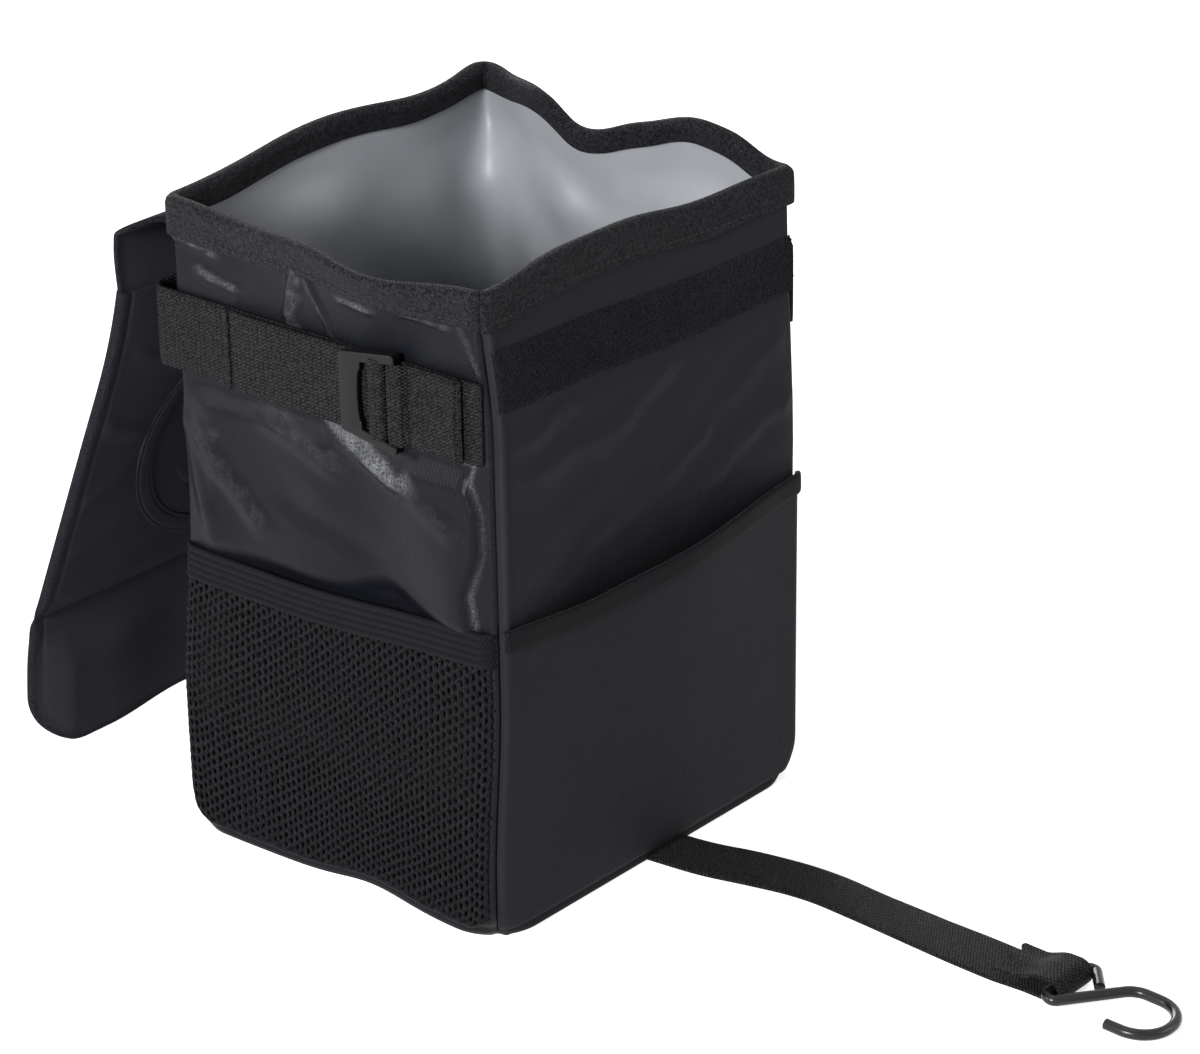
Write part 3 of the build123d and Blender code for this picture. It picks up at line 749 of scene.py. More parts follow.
def left_wall(share, rise):
    z = rise * rim_z
    y = 0.075 - 0.150 * share
    start = 0.115 + 0.008 * bell(y, -0.026, 0.016)
    free = ease((z - start) / 0.010) * (1 - ease((z - 0.174) / 0.010))
    collar = ease((z - 0.2165) / 0.004) * (1 - ease((z - 0.238) / 0.004))
    edge = np.interp(z, band_heights, band_edges)
    puff = 0.0030 * free * ease((y - edge) / 0.005) * ease((0.075 - y) / 0.020)
    proud = puff + seam_dip(share) + (free * 0.9 + collar * 0.8) * pressed_folds(y, z, left_strokes)
    proud = proud + 0.0011 * free * slack(y, z, 4, 0.05) * ease((0.075 - np.abs(y)) / 0.02)
    resting = 0.0022 * bell(z, 0.124, 0.03) * (1 - bell(y, -0.028, 0.020))
    proud = proud + resting * ease((0.075 - np.abs(y)) / 0.02)
    proud = proud - foot_seam(z)
    return bag_point("left", share, z, proud)


# Painted highlights on the left wall: on the left slopes of its folds, along the edges of its puff and beside
# its seam.
def left_highlight_mask(share, rise):
    z, y = rise * rim_z, 0.075 - 0.150 * share
    heights = (0.120, 0.128, 0.140, 0.150, 0.172, 0.180, 0.189, 0.195)
    fold = np.interp(z, heights, (0, 0.4, 0.3, 0.15, 0.15, 0.4, 0.4, 0))
    fold = fold * bell(y - np.interp(z, band_heights, band_edges), 0.0011, 0.0009)
    seam = 0.06 * bell(share, 0.985, 0.004)
    return np.maximum(np.maximum(fold_highlight_mask(y, z, left_strokes), fold), seam)


left_cloth = cloth_sheet("left_wall_cloth", 170, 215, (0.150, rim_z), left_wall, left_highlight_mask)
thicken(left_cloth, 0.0012)
hand_over(left_cloth, satin_cloth, "bin", "satin_cloth", "left_side_panel")

# %% [markdown]
# The front wall has fewer and softer folds than the left one, and a raised line beside its seam. Nothing
# shows of the right and back walls but their rims, so they only get some slack.

# %% Front, right and back walls
front_strokes = [
    (-73, 191, -40, 197, 7, 5, 1.6, 0.12), (-71, 178, -18, 177, 9, 7, 1.8, 0.12),
    (-18, 177, 16, 196, 8, 6, 1.8, 0.14), (9, 148, 33, 161, 7, 4, 2.0, 0.16),
    (25, 130, 56, 153, 8, 5, 2.4, 0.18), (56, 153, 80, 159, 8, 5, 2.0, 0.14),
    (-55, 126, -22, 140, 9, 6, 2.2, 0.16), (-22, 140, -5, 143, 8, 6, 1.6, 0.12),
    (-60, 150, -20, 160, 12, 9, 1.2, 0.0), (45, 170, 75, 185, 9, 7, 1.4, 0.08),
]


def front_wall(share, rise):
    z = rise * rim_z
    x = 0.170 * share - 0.085
    free = ease((z - 0.130) / 0.012) * (1 - ease((z - 0.192) / 0.008))
    ridge = 0.0009 * bell(share, 0.018, 0.007)
    folds = 0.0011 + pressed_folds(x, z, front_strokes) + 0.0007 * slack(x, z, 9, 0.06)
    proud = seam_dip(share) + ridge * (1 - ease((z - 0.234) / 0.004))
    proud = proud + free * folds * ease((0.085 - np.abs(x)) / 0.012)
    proud = proud - foot_seam(z)
    return bag_point("front", share, z, proud)


def plain_wall(side, seed):
    """A wall with some slack and no folds of its own."""
    def place(share, rise):
        z = rise * rim_z
        free = ease((z - 0.130) / 0.012) * (1 - ease((z - 0.174) / 0.010))
        run = (share - 0.5) * 0.15
        loose = 0.0014 * free * slack(run, z, seed, 0.06) * ease((0.5 - np.abs(share - 0.5)) / 0.12)
        return bag_point(side, share, z, seam_dip(share) + loose - foot_seam(z))
    return place


# Painted highlights on the front wall: on its folds and on the raised line beside its seam.
def front_highlight_mask(share, rise):
    z, x = rise * rim_z, 0.170 * share - 0.085
    return np.maximum(fold_highlight_mask(x, z, front_strokes), 0.22 * bell(share, 0.016, 0.004))


front_cloth = cloth_sheet("front_wall_cloth", 150, 170, (0.170, rim_z), front_wall, front_highlight_mask)
thicken(front_cloth, 0.0012)
hand_over(front_cloth, matte_cloth, "bin", "matte_cloth", "front_panel")
for side, run, seed, finish, slot, node in (
    ("right", 0.150, 21, satin_cloth, "satin_cloth", "right_side_panel"),
    ("back", 0.170, 33, matte_cloth, "matte_cloth", "back_panel"),
):
    wall_cloth = cloth_sheet(f"{side}_wall_cloth", 90, 120, (run, rim_z), plain_wall(side, seed))
    thicken(wall_cloth, 0.0012)
    hand_over(wall_cloth, finish, "bin", slot, node)

# %% [markdown]
# The lining is a second bag of waterproof film inside the first. It is cut a little large, so it stands in
# soft folds. The grid starts at the middle of the base, runs out to the foot of the walls and up to the rim.


# %% Lining and base
def lining(q, rise):
    floor_share = np.clip(rise / 0.2, 0, 1)
    z = 0.0062 + 0.2405 * np.clip((rise - 0.2) / 0.8, 0, 1)
    loose = 0.034 * (1 - 0.8 * ease((z - 0.205) / 0.034))
    point = np.zeros((len(q), 3))
    for shift in np.linspace(-1, 1, 9):
        point += mouth_point((q + shift * loose) % 1.0, z, -0.0031) / 9
    ring = q * ring_run
    held = ease((z - 0.012) / 0.03) * (1 - 0.97 * ease((z - 0.208) / 0.024))
    fold = 0.0034 + 0.0125 * slack(ring, z * 0.5, 14, 0.085) + 0.0045 * slack(ring, z * 1.2, 15, 0.040)
    inward = -point[:, :2] / np.linalg.norm(point[:, :2], axis=1, keepdims=True)
    point[:, :2] += inward * (np.maximum(fold, 0) * held)[:, None]
    point[:, :2] *= floor_share[:, None]
    point[:, 2] = np.where(floor_share < 1, z, point[:, 2])
    point[:, 2] += 0.0006 * (1 - floor_share) * slack(point[:, 0], point[:, 1], 16, 0.05) + 0.0003
    return point


lining_film = cloth_sheet("lining_film", 240, 150, (ring_run, 0.30), lining)
merge_close(lining_film)
thicken(lining_film, 0.0006, 1)
hand_over(lining_film, liner_film, "bin", "liner_film", "liner")


def base_sheet(q, out):
    point = mouth_point(1 - q, np.full_like(q, 0.0006), -0.0024)
    lift = point[:, 2] - 0.0006
    point[:, :2] *= out[:, None]
    edge = (1 - out) * 0.075
    seam = 0.0005 * bell(edge, 0.006, 0.0012)
    point[:, 2] = 0.0019 + 0.8 * lift * out ** 4 + seam + 0.0003 * slack(point[:, 0], point[:, 1], 6, 0.05)
    return point


base_cloth = cloth_sheet("base_cloth", 160, 50, (ring_run, 0.075), base_sheet)
merge_close(base_cloth)
thicken(base_cloth, 0.0012)
hand_over(base_cloth, matte_cloth, "bin", "matte_cloth", "base_panel")
finish_node("base_board", grey_board)

# %% [markdown]
# A woven tape is folded over the raw edge of the mouth and sewn through all layers. Its section is a narrow
# arch: up the outside, over the top and down inside.


# %% Rim tape
def rim_tape(q, over):
    outside = np.clip(over / 0.42, 0, 1)
    turn = np.clip((over - 0.42) / 0.16, 0, 1) * math.pi
    inside = np.clip((over - 0.58) / 0.42, 0, 1)
    z = 0.2362 + 0.0108 * outside + 0.0030 * np.sin(turn) - 0.0062 * inside
    proud = -0.0015 + 0.0031 * np.cos(turn)
    ring = q * ring_run
    limp = 0.0012 * slack(ring, over * 0.02, 41, 0.028) * (1 - np.sin(turn))
    limp = np.maximum(limp, -0.0002)
    point = mouth_point(q, z, proud + np.where(over < 0.5, limp, -limp))
    level = 0 * ring
    point[:, 2] += 0.0012 * slack(ring, level, 42, 0.04) + 0.0008 * slack(ring, level, 43, 0.05) * inside
    return point


tape = cloth_sheet("rim_tape", 400, 36, (ring_run, 0.034), rim_tape)
merge_close(tape)
thicken(tape, 0.0009)
hand_over(tape, woven_tape, "bin", "woven_tape", "rim_binding")

# %% [markdown]
# A row of stitches is one small bar of thread, modelled once and set down again and again. There are
# hundreds of them, so a bar has only twenty faces.


# %% Stitches
def thread_bar():
    """One stitch: a small rounded bar, lying along X."""
    deselect()
    bpy.ops.mesh.primitive_ico_sphere_add(subdivisions=1, radius=1)
    bar = bpy.context.object
    points = points_of(bar) * np.array((0.00135, 0.00032, 0.00026))
    faces = np.array([p.vertices[:] for p in bar.data.polygons])
    bpy.data.objects.remove(bar)
    return points, faces


bar_points, bar_faces = thread_bar()


def stitch_rows(name, rows, body, step=0.0034):
    """Bars of thread along each line; a row is a line of points and the way out of the cloth at each."""
    points, faces = [], []
    for line, out in rows:
        line, out = np.asarray(line, float), np.asarray(out, float)
        count = max(int(length_of(line) / step), 1)
        share = (np.arange(count) + 0.5) / count
        place = walk(line, share)
        reach = 0.25 / count
        ahead = walk(line, np.clip(share + reach, 0, 1)) - walk(line, np.clip(share - reach, 0, 1))
        ahead /= np.linalg.norm(ahead, axis=1, keepdims=True)
        facing = out if out.ndim == 2 and len(out) == 1 else np.stack(
            [np.interp(share, np.linspace(0, 1, len(out)), out[:, k]) for k in range(3)], axis=1)
        facing = facing / np.linalg.norm(facing, axis=1, keepdims=True)
        beside = np.cross(facing, ahead)
        for spot, x, y, z in zip(place, ahead, beside, np.broadcast_to(facing, place.shape)):
            faces.append(bar_faces + sum(map(len, points)))
            points.append(spot + bar_points[:, :1] * x + bar_points[:, 1:2] * y + bar_points[:, 2:] * z)
    mesh = bpy.data.meshes.new(name)
    mesh.from_pydata(np.concatenate(points).tolist(), [], np.concatenate(faces).tolist())
    piece = bpy.data.objects.new(name, mesh)
    bpy.context.collection.objects.link(piece)
    make_active(piece)
    bpy.ops.object.shade_smooth()
    return hand_over(piece, thread, body, "webbing")


def row_on_bag(side, start, end, z, proud, count=60):
    """A stitch line on one wall, from one share of its length to another."""
    share = np.linspace(start, end, count)
    height = np.zeros(count) + z
    line = bag_point(side, share, height, np.full(count, proud))
    out = np.array([[*sides[side][1], 0]], float)
    return line, out


stitch_rows("rim_tape_stitches", [row_on_bag(side, 0.02, 0.98, 0.2388, 0.0017) for side in sides], "bin")

# %% [markdown]
# The fastening strip on the front is a pile of tiny loops, so it drinks the light. Its face is roughened in
# the mesh, and its long edges are left a little ragged. It lies on the wall with nothing between.


# %% Loop strip
loop_length, loop_tall, loop_low = 0.164, 0.0225, 0.2010


def pile_strip(across, up):
    x = (across - 0.5) * loop_length
    shift = np.random.default_rng(3).normal(0, 1, len(x))
    border = np.minimum(up, 1 - up) * loop_tall
    ragged = 0.0004 * slack(x, 0 * x, 52, 0.012) * np.where(border < 0.0005, 1, 0)
    z = loop_low + loop_tall * up + ragged
    z = z + 0.0050 * bell(x, -0.086, 0.034) - 0.0012 * bell(x, 0, 0.04)
    proud = 0.0003 + 0.0009 * ease(border / 0.0020) + 0.00016 * shift * ease(border / 0.0006)
    return bag_point("front", 0.5 + x / front_run, z, proud)


loop_strip = cloth_sheet("loop_pile_strip", 330, 48, (loop_length, loop_tall), pile_strip)
thicken(loop_strip, 0.0003)
hand_over(loop_strip, loop_pile, "bin", "loop_pile", "loop_strip")

# %% [markdown]
# The front pocket is one sheet of the same cloth, sewn at both sides and at the foot. Its top is longer than
# the wall behind it, so it stands off and gapes to the right of the middle. A hem is turned over it.


# %% Front pocket
pocket_width, pocket_foot = 0.1655, 0.0045


def pocket_line(x, z, proud):
    """A point of the pocket's cloth, which bulges more the higher it is."""
    high = np.clip((z - 0.004) / 0.116, 0, 1)
    bulge = 0.0050 * np.sqrt(high) * (1 - (x / 0.0838) ** 2)
    gape = 0.0040 * high ** 2 * bell(x, 0.020, 0.036)
    share = 0.5 + x / front_run
    return bag_point("front", share, z, proud + bulge + gape + seam_dip(share, 0.0008), 0)


def pocket_top(x):
    """The height of the pocket's mouth, which hangs lowest left of the middle."""
    return 0.1205 + 0.0040 * ease((-0.03 - x) / 0.05) + 0.0060 * ease((x + 0.055) / 0.125)


def pocket_wave(x, z):
    return 0.0005 * slack(x, z, 61, 0.07) * ease((0.0835 - np.abs(x)) / 0.02)


def pocket(across, up):
    x = (across - 0.5) * pocket_width
    z = pocket_foot + (pocket_top(x) - pocket_foot) * up
    return pocket_line(x, z, 0.0004 + pocket_wave(x, z) * ease(up / 0.15))


pocket_cloth = cloth_sheet("front_pocket_cloth", 120, 80, (0.167, 0.106), pocket)
thicken(pocket_cloth, 0.0009, 1)
hand_over(pocket_cloth, matte_cloth, "bin", "matte_cloth", "front_pocket")


def pocket_hem(across, up):
    x = (across - 0.5) * pocket_width
    z = pocket_top(x) - 0.0080 + 0.0085 * up
    roll = 0.0012 * np.sqrt(np.clip(1 - (2 * up - 1) ** 6, 0, 1))
    return pocket_line(x, z, 0.0016 + pocket_wave(x, z) + roll)


hem = cloth_sheet("front_pocket_hem_fold", 140, 16, (0.167, 0.0085), pocket_hem)
thicken(hem, 0.0008)
hand_over(hem, elastic_band, "bin", "elastic", "front_pocket_hem")
hem_x = np.linspace(-0.081, 0.081, 90)
hem_row = pocket_line(hem_x, pocket_top(hem_x) - 0.0064, np.full(90, 0.0024))
stitch_rows("front_pocket_stitches", [(hem_row, [[0, -1, 0]])], "bin")

# %% [markdown]
# The side pockets are an open net: threads knitted round rows of small oval holes. A flat sheet of hexagons
# becomes a net with the Wireframe modifier, and its points are then laid along the wall. A ribbed elastic
# hem gathers its top.


# %% Side nets
net_width, net_hem = 0.1475, 0.0135


def net_line(side, y, z, proud):
    """A point of a net or its hem, which sinks to the wall at both side seams."""
    swell = 0.0008 * ease((0.0745 - np.abs(y)) / 0.02) * ease((z - 0.03) / 0.05)
    inside = ease((0.0738 - np.abs(y)) / 0.006)
    proud = (0.0008 + proud) * (0.15 + 0.85 * inside) - 0.0007 * (1 - inside)
    way = -1 if side == "left" else 1
    share = np.clip(0.5 + way * y / 0.148, 0.003, 0.997)
    return bag_point(side, share, z, swell + proud + seam_dip(share), 0)


def net_top(side, y):
    """The height of a net's mouth; the left one rises towards the front."""
    return 0.1175 + (0.0055 * ease((0.02 - y) / 0.09) if side == "left" else 0 * y)


def side_net(side):
    deselect()
    bpy.ops.mesh.primitive_circle_add(vertices=6, radius=1, fill_type="NGON")
    piece = bpy.context.object
    piece.name = piece.data.name = f"{side}_net"
    wide, tall = 0.0026, 0.0041
    points = points_of(piece)
    angle = np.round(np.arctan2(points[:, 0], points[:, 1]) / (math.pi / 3)) * math.pi / 3
    cell = np.stack([np.cos(angle) * wide * 2 / 3, np.sin(angle) * tall / math.sqrt(3), 0 * angle], axis=1)
    move_points(piece, cell)
    for count, step in ((2, (wide, tall / 2, 0)), (29, (2 * wide, 0, 0)), (28, (0, tall, 0))):
        use_modifier(piece, "ARRAY", count=count, use_relative_offset=False, use_constant_offset=True,
                     constant_offset_displace=step)
    bpy.ops.object.mode_set(mode="EDIT")
    bpy.ops.mesh.select_all(action="SELECT")
    bpy.ops.mesh.remove_doubles(threshold=0.0003)
    for way, low, high in (((1, 0, 0), wide / 3, 57.4 * wide), ((0, 1, 0), tall / 3, 27.6 * tall)):
        for stop, inner in ((low, True), (high, False)):
            bpy.ops.mesh.select_all(action="SELECT")
            bpy.ops.mesh.bisect(
                plane_co=tuple(stop * c for c in way), plane_no=way, clear_inner=inner, clear_outer=not inner)
    bpy.ops.object.mode_set(mode="OBJECT")
    use_modifier(piece, "WIREFRAME", thickness=0.0025, use_even_offset=False, use_boundary=True)
    points = points_of(piece)
    points[:, 0] += 0.0006 * slack(points[:, 0], points[:, 1], 73, 0.012)
    points[:, 1] += 0.0007 * slack(points[:, 0], points[:, 1], 74, 0.012)
    low, high = points.min(axis=0), points.max(axis=0)
    share = (points - low) / (high - low)
    way = -1 if side == "left" else 1
    y = way * (share[:, 0] - 0.5) * net_width
    foot = 0.0025 + 0.0050 * ease((np.abs(y) - 0.064) / 0.008)
    z = foot + (net_top(side, y) - 0.0055 - foot) * share[:, 1]
    move_points(piece, net_line(side, y, z, points[:, 2] * 0.5))
    make_active(piece)
    bpy.ops.object.shade_smooth()
    return hand_over(piece, net_yarn, "bin", "mesh", f"{side}_mesh_pocket")


def elastic_hem(side):
    sign = -1 if side == "left" else 1

    def place(across, up):
        y = sign * (across - 0.5) * net_width
        z = net_top(side, y) - 0.0130 + net_hem * up
        rib = 0.0012 * np.abs(np.sin(up * math.pi * 5)) ** 0.6
        gather = 0.00025 * slack(y, z * 0.2, 71, 0.011)
        return net_line(side, y, z, 0.0011 + rib + gather)

    band = cloth_sheet(f"{side}_net_hem", 150, 40, (net_width, net_hem), place)
    thicken(band, 0.0010)
    return hand_over(band, elastic_band, "bin", "elastic", f"{side}_mesh_hem")


for side in ("left", "right"):
    side_net(side)
    elastic_hem(side)

# %% [markdown]
# Two straps hold the bin to a headrest. The short one is sewn into the front seam and folded back round the
# buckle's first bar. The long one runs round the back and is threaded over the second bar, so it can slide.
# Each is a ribbon on edge along a plan line whose corners are rounded.


# %% Strap lines
def rounded_line(points, radii):
    """A plan line with an arc at each corner."""
    points = [np.array(p, float) for p in points]
    line = [points[0]]
    for before, here, after, radius in zip(points, points[1:], points[2:], radii):
        into, out = here - before, after - here
        into, out = into / np.linalg.norm(into), out / np.linalg.norm(out)
        bend = math.acos(np.clip(into @ out, -1, 1))
        cut = radius * math.tan(bend / 2)
        centre_way = (out - into) / np.linalg.norm(out - into)
        centre = here + centre_way * radius / math.cos(bend / 2)
        start = here - into * cut - centre
        side = math.copysign(1, into[0] * out[1] - into[1] * out[0])
        for angle in np.linspace(0, bend * side, 9):
            c, s = math.cos(angle), math.sin(angle)
            line.append(centre + np.array((c * start[0] - s * start[1], s * start[0] + c * start[1])))
    line.append(points[-1])
    return np.array(line)


strap_low, strap_width = 0.186, 0.030


def strap_on_edge(name, line, seed):
    """Webbing standing on edge along a plan line."""
    total = length_of(line)
    half = 0.0007

    def place(along, up):
        spot = walk(line, along)
        ahead = walk(line, np.clip(along + 0.002, 0, 1)) - walk(line, np.clip(along - 0.002, 0, 1))
        ahead = ahead / np.linalg.norm(ahead, axis=1, keepdims=True)
        beside = np.stack([ahead[:, 1], -ahead[:, 0]], axis=1)
        edge = np.abs(2 * up - 1)
        rib = 0.00013 * np.sin(along * total * 2 * math.pi / 0.0022)
        left_over = (1 - along) * total
        lifted = 0.0009 * ease(1 - left_over / 0.010) - 0.0011 * bell(left_over, 0.0016, 0.0006)
        spot = spot + beside * (half - 0.00025 * edge ** 8 + rib + lifted)[:, None]
        z = strap_low + strap_width * up + 0.0005 * slack(along * total, 0 * up, seed, 0.09)
        return np.stack([spot[:, 0], spot[:, 1], z], axis=1)

    strap = cloth_sheet(name, max(int(total / 0.00055), 40), 14, (total, strap_width), place)
    thicken(strap, 2 * half)
    return strap


# Distances out from the middle of the bag: strap on the wall, strap over a bar, strap on the first layer
first_layer, over_bar, second_layer = 0.0861, 0.0907, 0.0880
bend = 0.0011
short_line = rounded_line(
    [(-first_layer, -0.0752), (-first_layer, -0.0359), (-over_bar, -0.0359), (-over_bar, -0.0411),
     (-second_layer, -0.0438), (-second_layer, -0.0678)],
    [bend] * 4,
)
long_line = rounded_line(
    [(first_layer, -0.0735), (first_layer, 0.0839), (-first_layer, 0.0839), (-first_layer, -0.0336),
     (-over_bar, -0.0336), (-over_bar, -0.0282), (-second_layer, -0.0255), (-second_layer, 0.045)],
    [0.007, 0.007, bend, bend, bend, bend],
)
short_strap = strap_on_edge("short_strap", short_line, 81)
hand_over(short_strap, webbing, "bin", "webbing", "strap_anchor")
long_strap = strap_on_edge("headrest_strap_webbing", long_line, 82)
hand_over(long_strap, webbing, "bin", "webbing", "headrest_strap")

# %% [markdown]
# The buckle is a ladder lock, moulded in one piece: two rails, two bars and a lip to pull on. Its solid
# already has that form, so a copy only gets rounded edges and a narrower lip.


# %% Buckle
def rounded_copy(node, name, width):
    """A copy of a moulded solid with its sharp edges broken."""
    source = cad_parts[node]
    piece = bpy.data.objects.new(name, source.data.copy())
    bpy.context.collection.objects.link(piece)
    merge_close(piece)
    use_modifier(piece, "BEVEL", width=width, segments=3, limit_method="ANGLE", angle_limit=math.radians(35))
    make_active(piece)
    bpy.ops.object.shade_smooth_by_angle(angle=math.radians(40))
    return piece


buckle = rounded_copy("ladder_lock", "ladder_lock_moulding", 0.0008)
buckle_points = points_of(buckle)
strap_middle = 0.201
narrower = 1 - 0.19 * ease((buckle_points[:, 1] + 0.034) / 0.010)
buckle_points[:, 2] = strap_middle + (buckle_points[:, 2] - strap_middle) * narrower
move_points(buckle, buckle_points)
hand_over(buckle, moulded_plastic, "bin", "moulded_plastic", "ladder_lock")

# %% [markdown]
# The lid is a thin foam pad in brushed cloth with a front flap. At rest it hangs open behind the bin. Both
# faces are grids laid on one bent line and brought together at the outline, so the edge is round and the
# form is closed.

# %% Line of the lid
lid_half, lid_length, flap_length, corner_round = 0.0915, 0.160, 0.0595, 0.023
lid_middle = 0.0025
fold_y, fold_z = 0.157, 0.064
lean_step = 0.0005
lean_steps = np.arange(-0.070, 0.1701, lean_step)
lean = 84.9 - 18.1 * ease((lean_steps + 0.034) / 0.040) + 12.0 * ease((lean_steps - 0.105) / 0.080)
lean = np.radians(lean)
line_y = np.cumsum(-np.cos(lean)) * lean_step
line_z = np.cumsum(np.sin(lean)) * lean_step
line_y += fold_y - np.interp(0, lean_steps, line_y)
line_z += fold_z - np.interp(0, lean_steps, line_z)


def lid_lift(x, d):
    """How far the soft lid is domed, to clear the high back corner and the full front when closed."""
    back = 0.0058 * ease((x + 0.11) / 0.13)
    right = 0.0048 * ease((x - 0.03) / 0.05) * bell(d, 0.048, 0.018)
    front = 0.0030 + 0.0048 * ease((-0.012 - x) / 0.045) + 0.0016 * ease((x - 0.03) / 0.03)
    front = front * ease((x + 0.0930) / 0.018) * ease((0.0975 - x) / 0.014)
    return back * ease((d - 0.078) / 0.06) + right + front * ease((-0.004 - d) / 0.022)


def lid_hollow(x, d):
    """The foam thins out towards the hinge, from the inner face."""
    return 0.0028 * ease((d - 0.085) / 0.04) * ease((x + 0.07) / 0.05)


def lid_point(x, d, h):
    """A point at x across, d up from the flap's fold and h out from the lid's inner face."""
    h = h + lid_lift(x, d)
    angle = np.interp(d, lean_steps, lean)
    y = np.interp(d, lean_steps, line_y) - np.sin(angle) * h
    z = np.interp(d, lean_steps, line_z) - np.cos(angle) * h
    return np.stack([x + 0 * d, y, z], axis=1)


def from_edge(x, d, top):
    """Distance in from the lid's rounded outline; the top edge counts as top times as far."""
    near = np.minimum(lid_half - np.abs(x), np.minimum((lid_length - d) * top, d + flap_length))
    dx, dd = np.abs(x) - (lid_half - corner_round), -(d + flap_length) + corner_round
    near = np.where((dx > 0) & (dd > 0), corner_round - np.hypot(dx, dd), near)
    return np.maximum(near, 0)


def crowd(t):
    """Shares of a length, set closer towards both ends."""
    return t - 0.085 * np.sin(2 * math.pi * t)


def lid_cell(across, up):
    """Grid shares to the lid's cut, with close rows at its edges."""
    d = -flap_length + (flap_length + lid_length) * crowd(up)
    low = np.clip(d + flap_length, 0, corner_round)
    round_in = corner_round - np.sqrt(np.maximum(corner_round ** 2 - (corner_round - low) ** 2, 0))
    return (2 * crowd(across) - 1) * (lid_half - round_in), d


lid_strokes = [
    (-88, 60, -66, 70, 5, 4, 1.0), (-86, 98, -64, 88, 6, 4, 1.2), (-80, 130, -50, 118, 7, 5, 1.0),
    (88, 70, 66, 74, 5, 4, 1.0), (80, 130, 52, 120, 7, 5, 1.0), (-60, 20, -30, 26, 7, 5, 1.0),
    (30, 22, 66, 18, 7, 5, 1.0), (-84, 34, -60, 40, 5, 4, 0.9),
]


def lid_face(face):
    """The outer face for 1, the inner face for -1."""
    def place(across, up):
        x, d = lid_cell(across, up)
        edge, seam = from_edge(x, d, 3.0), from_edge(x, d, 99.0)
        thick = np.interp(d, (-0.06, -0.010, 0, 0.010, 0.16), (0.004, 0.004, 0.0026, 0.005, 0.005))
        round_off = np.sqrt(np.clip(1 - (1 - np.minimum(edge, 0.0022) / 0.0022) ** 2, 0, 1))
        lie = ease(edge / 0.010)
        detail = 0.0004 * slack(x, d, 91 + face, 0.06) * lie - 0.0004 * bell(seam, 0.0045, 0.0008)
        detail = detail - 0.0008 * bell(d, 0, 0.0018) + 0.0007 * bell(d, -0.006, 0.004)
        detail = detail + lie * 0.8 * pressed_folds(x, d, lid_strokes) * (1 if face > 0 else -0.6)
        hollow = lid_hollow(x, d)
        thick = thick - hollow
        return lid_point(x, d, hollow + thick / 2 + face * (thick / 2 + detail) * round_off)
    return place


def lid_shade_mask(across, up):
    """Painted shade: the pad's side edges and foot are painted darker than its faces, and so is the flap's
    left side.
    """
    x, d = lid_cell(across, up)
    edge = 1 - ease((from_edge(x, d, 99.0) - 0.001) / 0.0035)
    round_side = 0.40 * bell(x, -0.0835, 0.0075) * ease((-0.006 - d) / 0.016)
    return np.maximum(edge, round_side)


lid_pad = cloth_sheet("lid_pad", 140, 170, (0.180, 0.220), lid_face(1), lid_shade_mask)
inner_face = cloth_sheet("lid_inner_face", 140, 170, (0.180, 0.220), lid_face(-1), lid_shade_mask)
bpy.ops.object.mode_set(mode="EDIT")
bpy.ops.mesh.select_all(action="SELECT")
bpy.ops.mesh.flip_normals()
bpy.ops.object.mode_set(mode="OBJECT")
deselect()
inner_face.select_set(True)
lid_pad.select_set(True)
bpy.context.view_layer.objects.active = lid_pad
bpy.ops.object.join()
merge_close(lid_pad)
print("lid pad closed,", len(lid_pad.data.polygons), "faces")

# %% [markdown]
# Rubbish is pushed through a round mouth in the lid. A cylinder cuts it out of the pad.


# %% Round mouth in the lid
def lid_spot(x, d, h):
    """One point of the lid."""
    return lid_point(np.array([x]), np.array([d]), np.array([h]))[0]


ring_d, mouth_radius = 0.076, 0.053
hang = math.radians(65.9)
middle = lid_spot(0.0, ring_d, lid_middle)
deselect()
bpy.ops.mesh.primitive_cylinder_add(vertices=128, radius=mouth_radius, depth=0.03, location=middle)
cutter = bpy.context.object
out_way = Vector((0, -math.sin(hang), -math.cos(hang)))
cutter.rotation_euler = out_way.to_track_quat("Z", "X").to_euler()
bpy.context.view_layer.update()
use_modifier(lid_pad, "BOOLEAN", operation="DIFFERENCE", object=cutter)
bpy.data.objects.remove(cutter)
hand_over(lid_pad, lid_cloth, None, "lid_cloth", "lid_panel", "lid_flap")
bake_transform(lid_pad)

# %% [markdown]
# A sewn ring hides the cut edge of the mouth on both faces, and a membrane with a curved slit closes it. All
# three are round cuts, so one function lays them out by radius and angle.


# %% Rings round the mouth
def polar_sheet(name, radii, depth, turns=160):
    """A round cut about the lid's mouth; depth(radius, angle) is measured from the inner face."""
    def place(turn, out):
        angle = -2 * math.pi * turn
        radius = np.interp(out * (len(radii) - 1), np.arange(len(radii)), radii)
        return lid_point(radius * np.cos(angle), ring_d + radius * np.sin(angle), depth(radius, angle))
    piece = cloth_sheet(name, turns, len(radii) - 1, (0.36, radii[-1] - radii[0]), place)
    merge_close(piece)
    return piece


ring_tape = polar_sheet(
    "lid_ring_tape", np.linspace(0.0524, 0.0612, 23),
    lambda r, a: 0.0047 + 0.0009 * np.clip(1 - ((r - 0.0568) / 0.0045) ** 6, 0, 1) ** 0.5
    - 0.0004 * bell(r, 0.0540, 0.0005) - 0.0004 * bell(r, 0.0596, 0.0005),
)
thicken(ring_tape, 0.0006)
hand_over(ring_tape, lid_cloth, "lid", "lid_cloth", "lid_opening_ring")
inner_ring = polar_sheet(
    "lid_inner_ring_tape", np.linspace(0.0590, 0.0522, 15),
    lambda r, a: lid_hollow(r * np.cos(a), ring_d + r * np.sin(a)) + 0.0002
    - 0.0011 * np.clip(1 - ((r - 0.0556) / 0.0036) ** 4, 0, 1) ** 0.5,
)
thicken(inner_ring, 0.0005)
hand_over(inner_ring, woven_tape, "lid", "woven_tape")

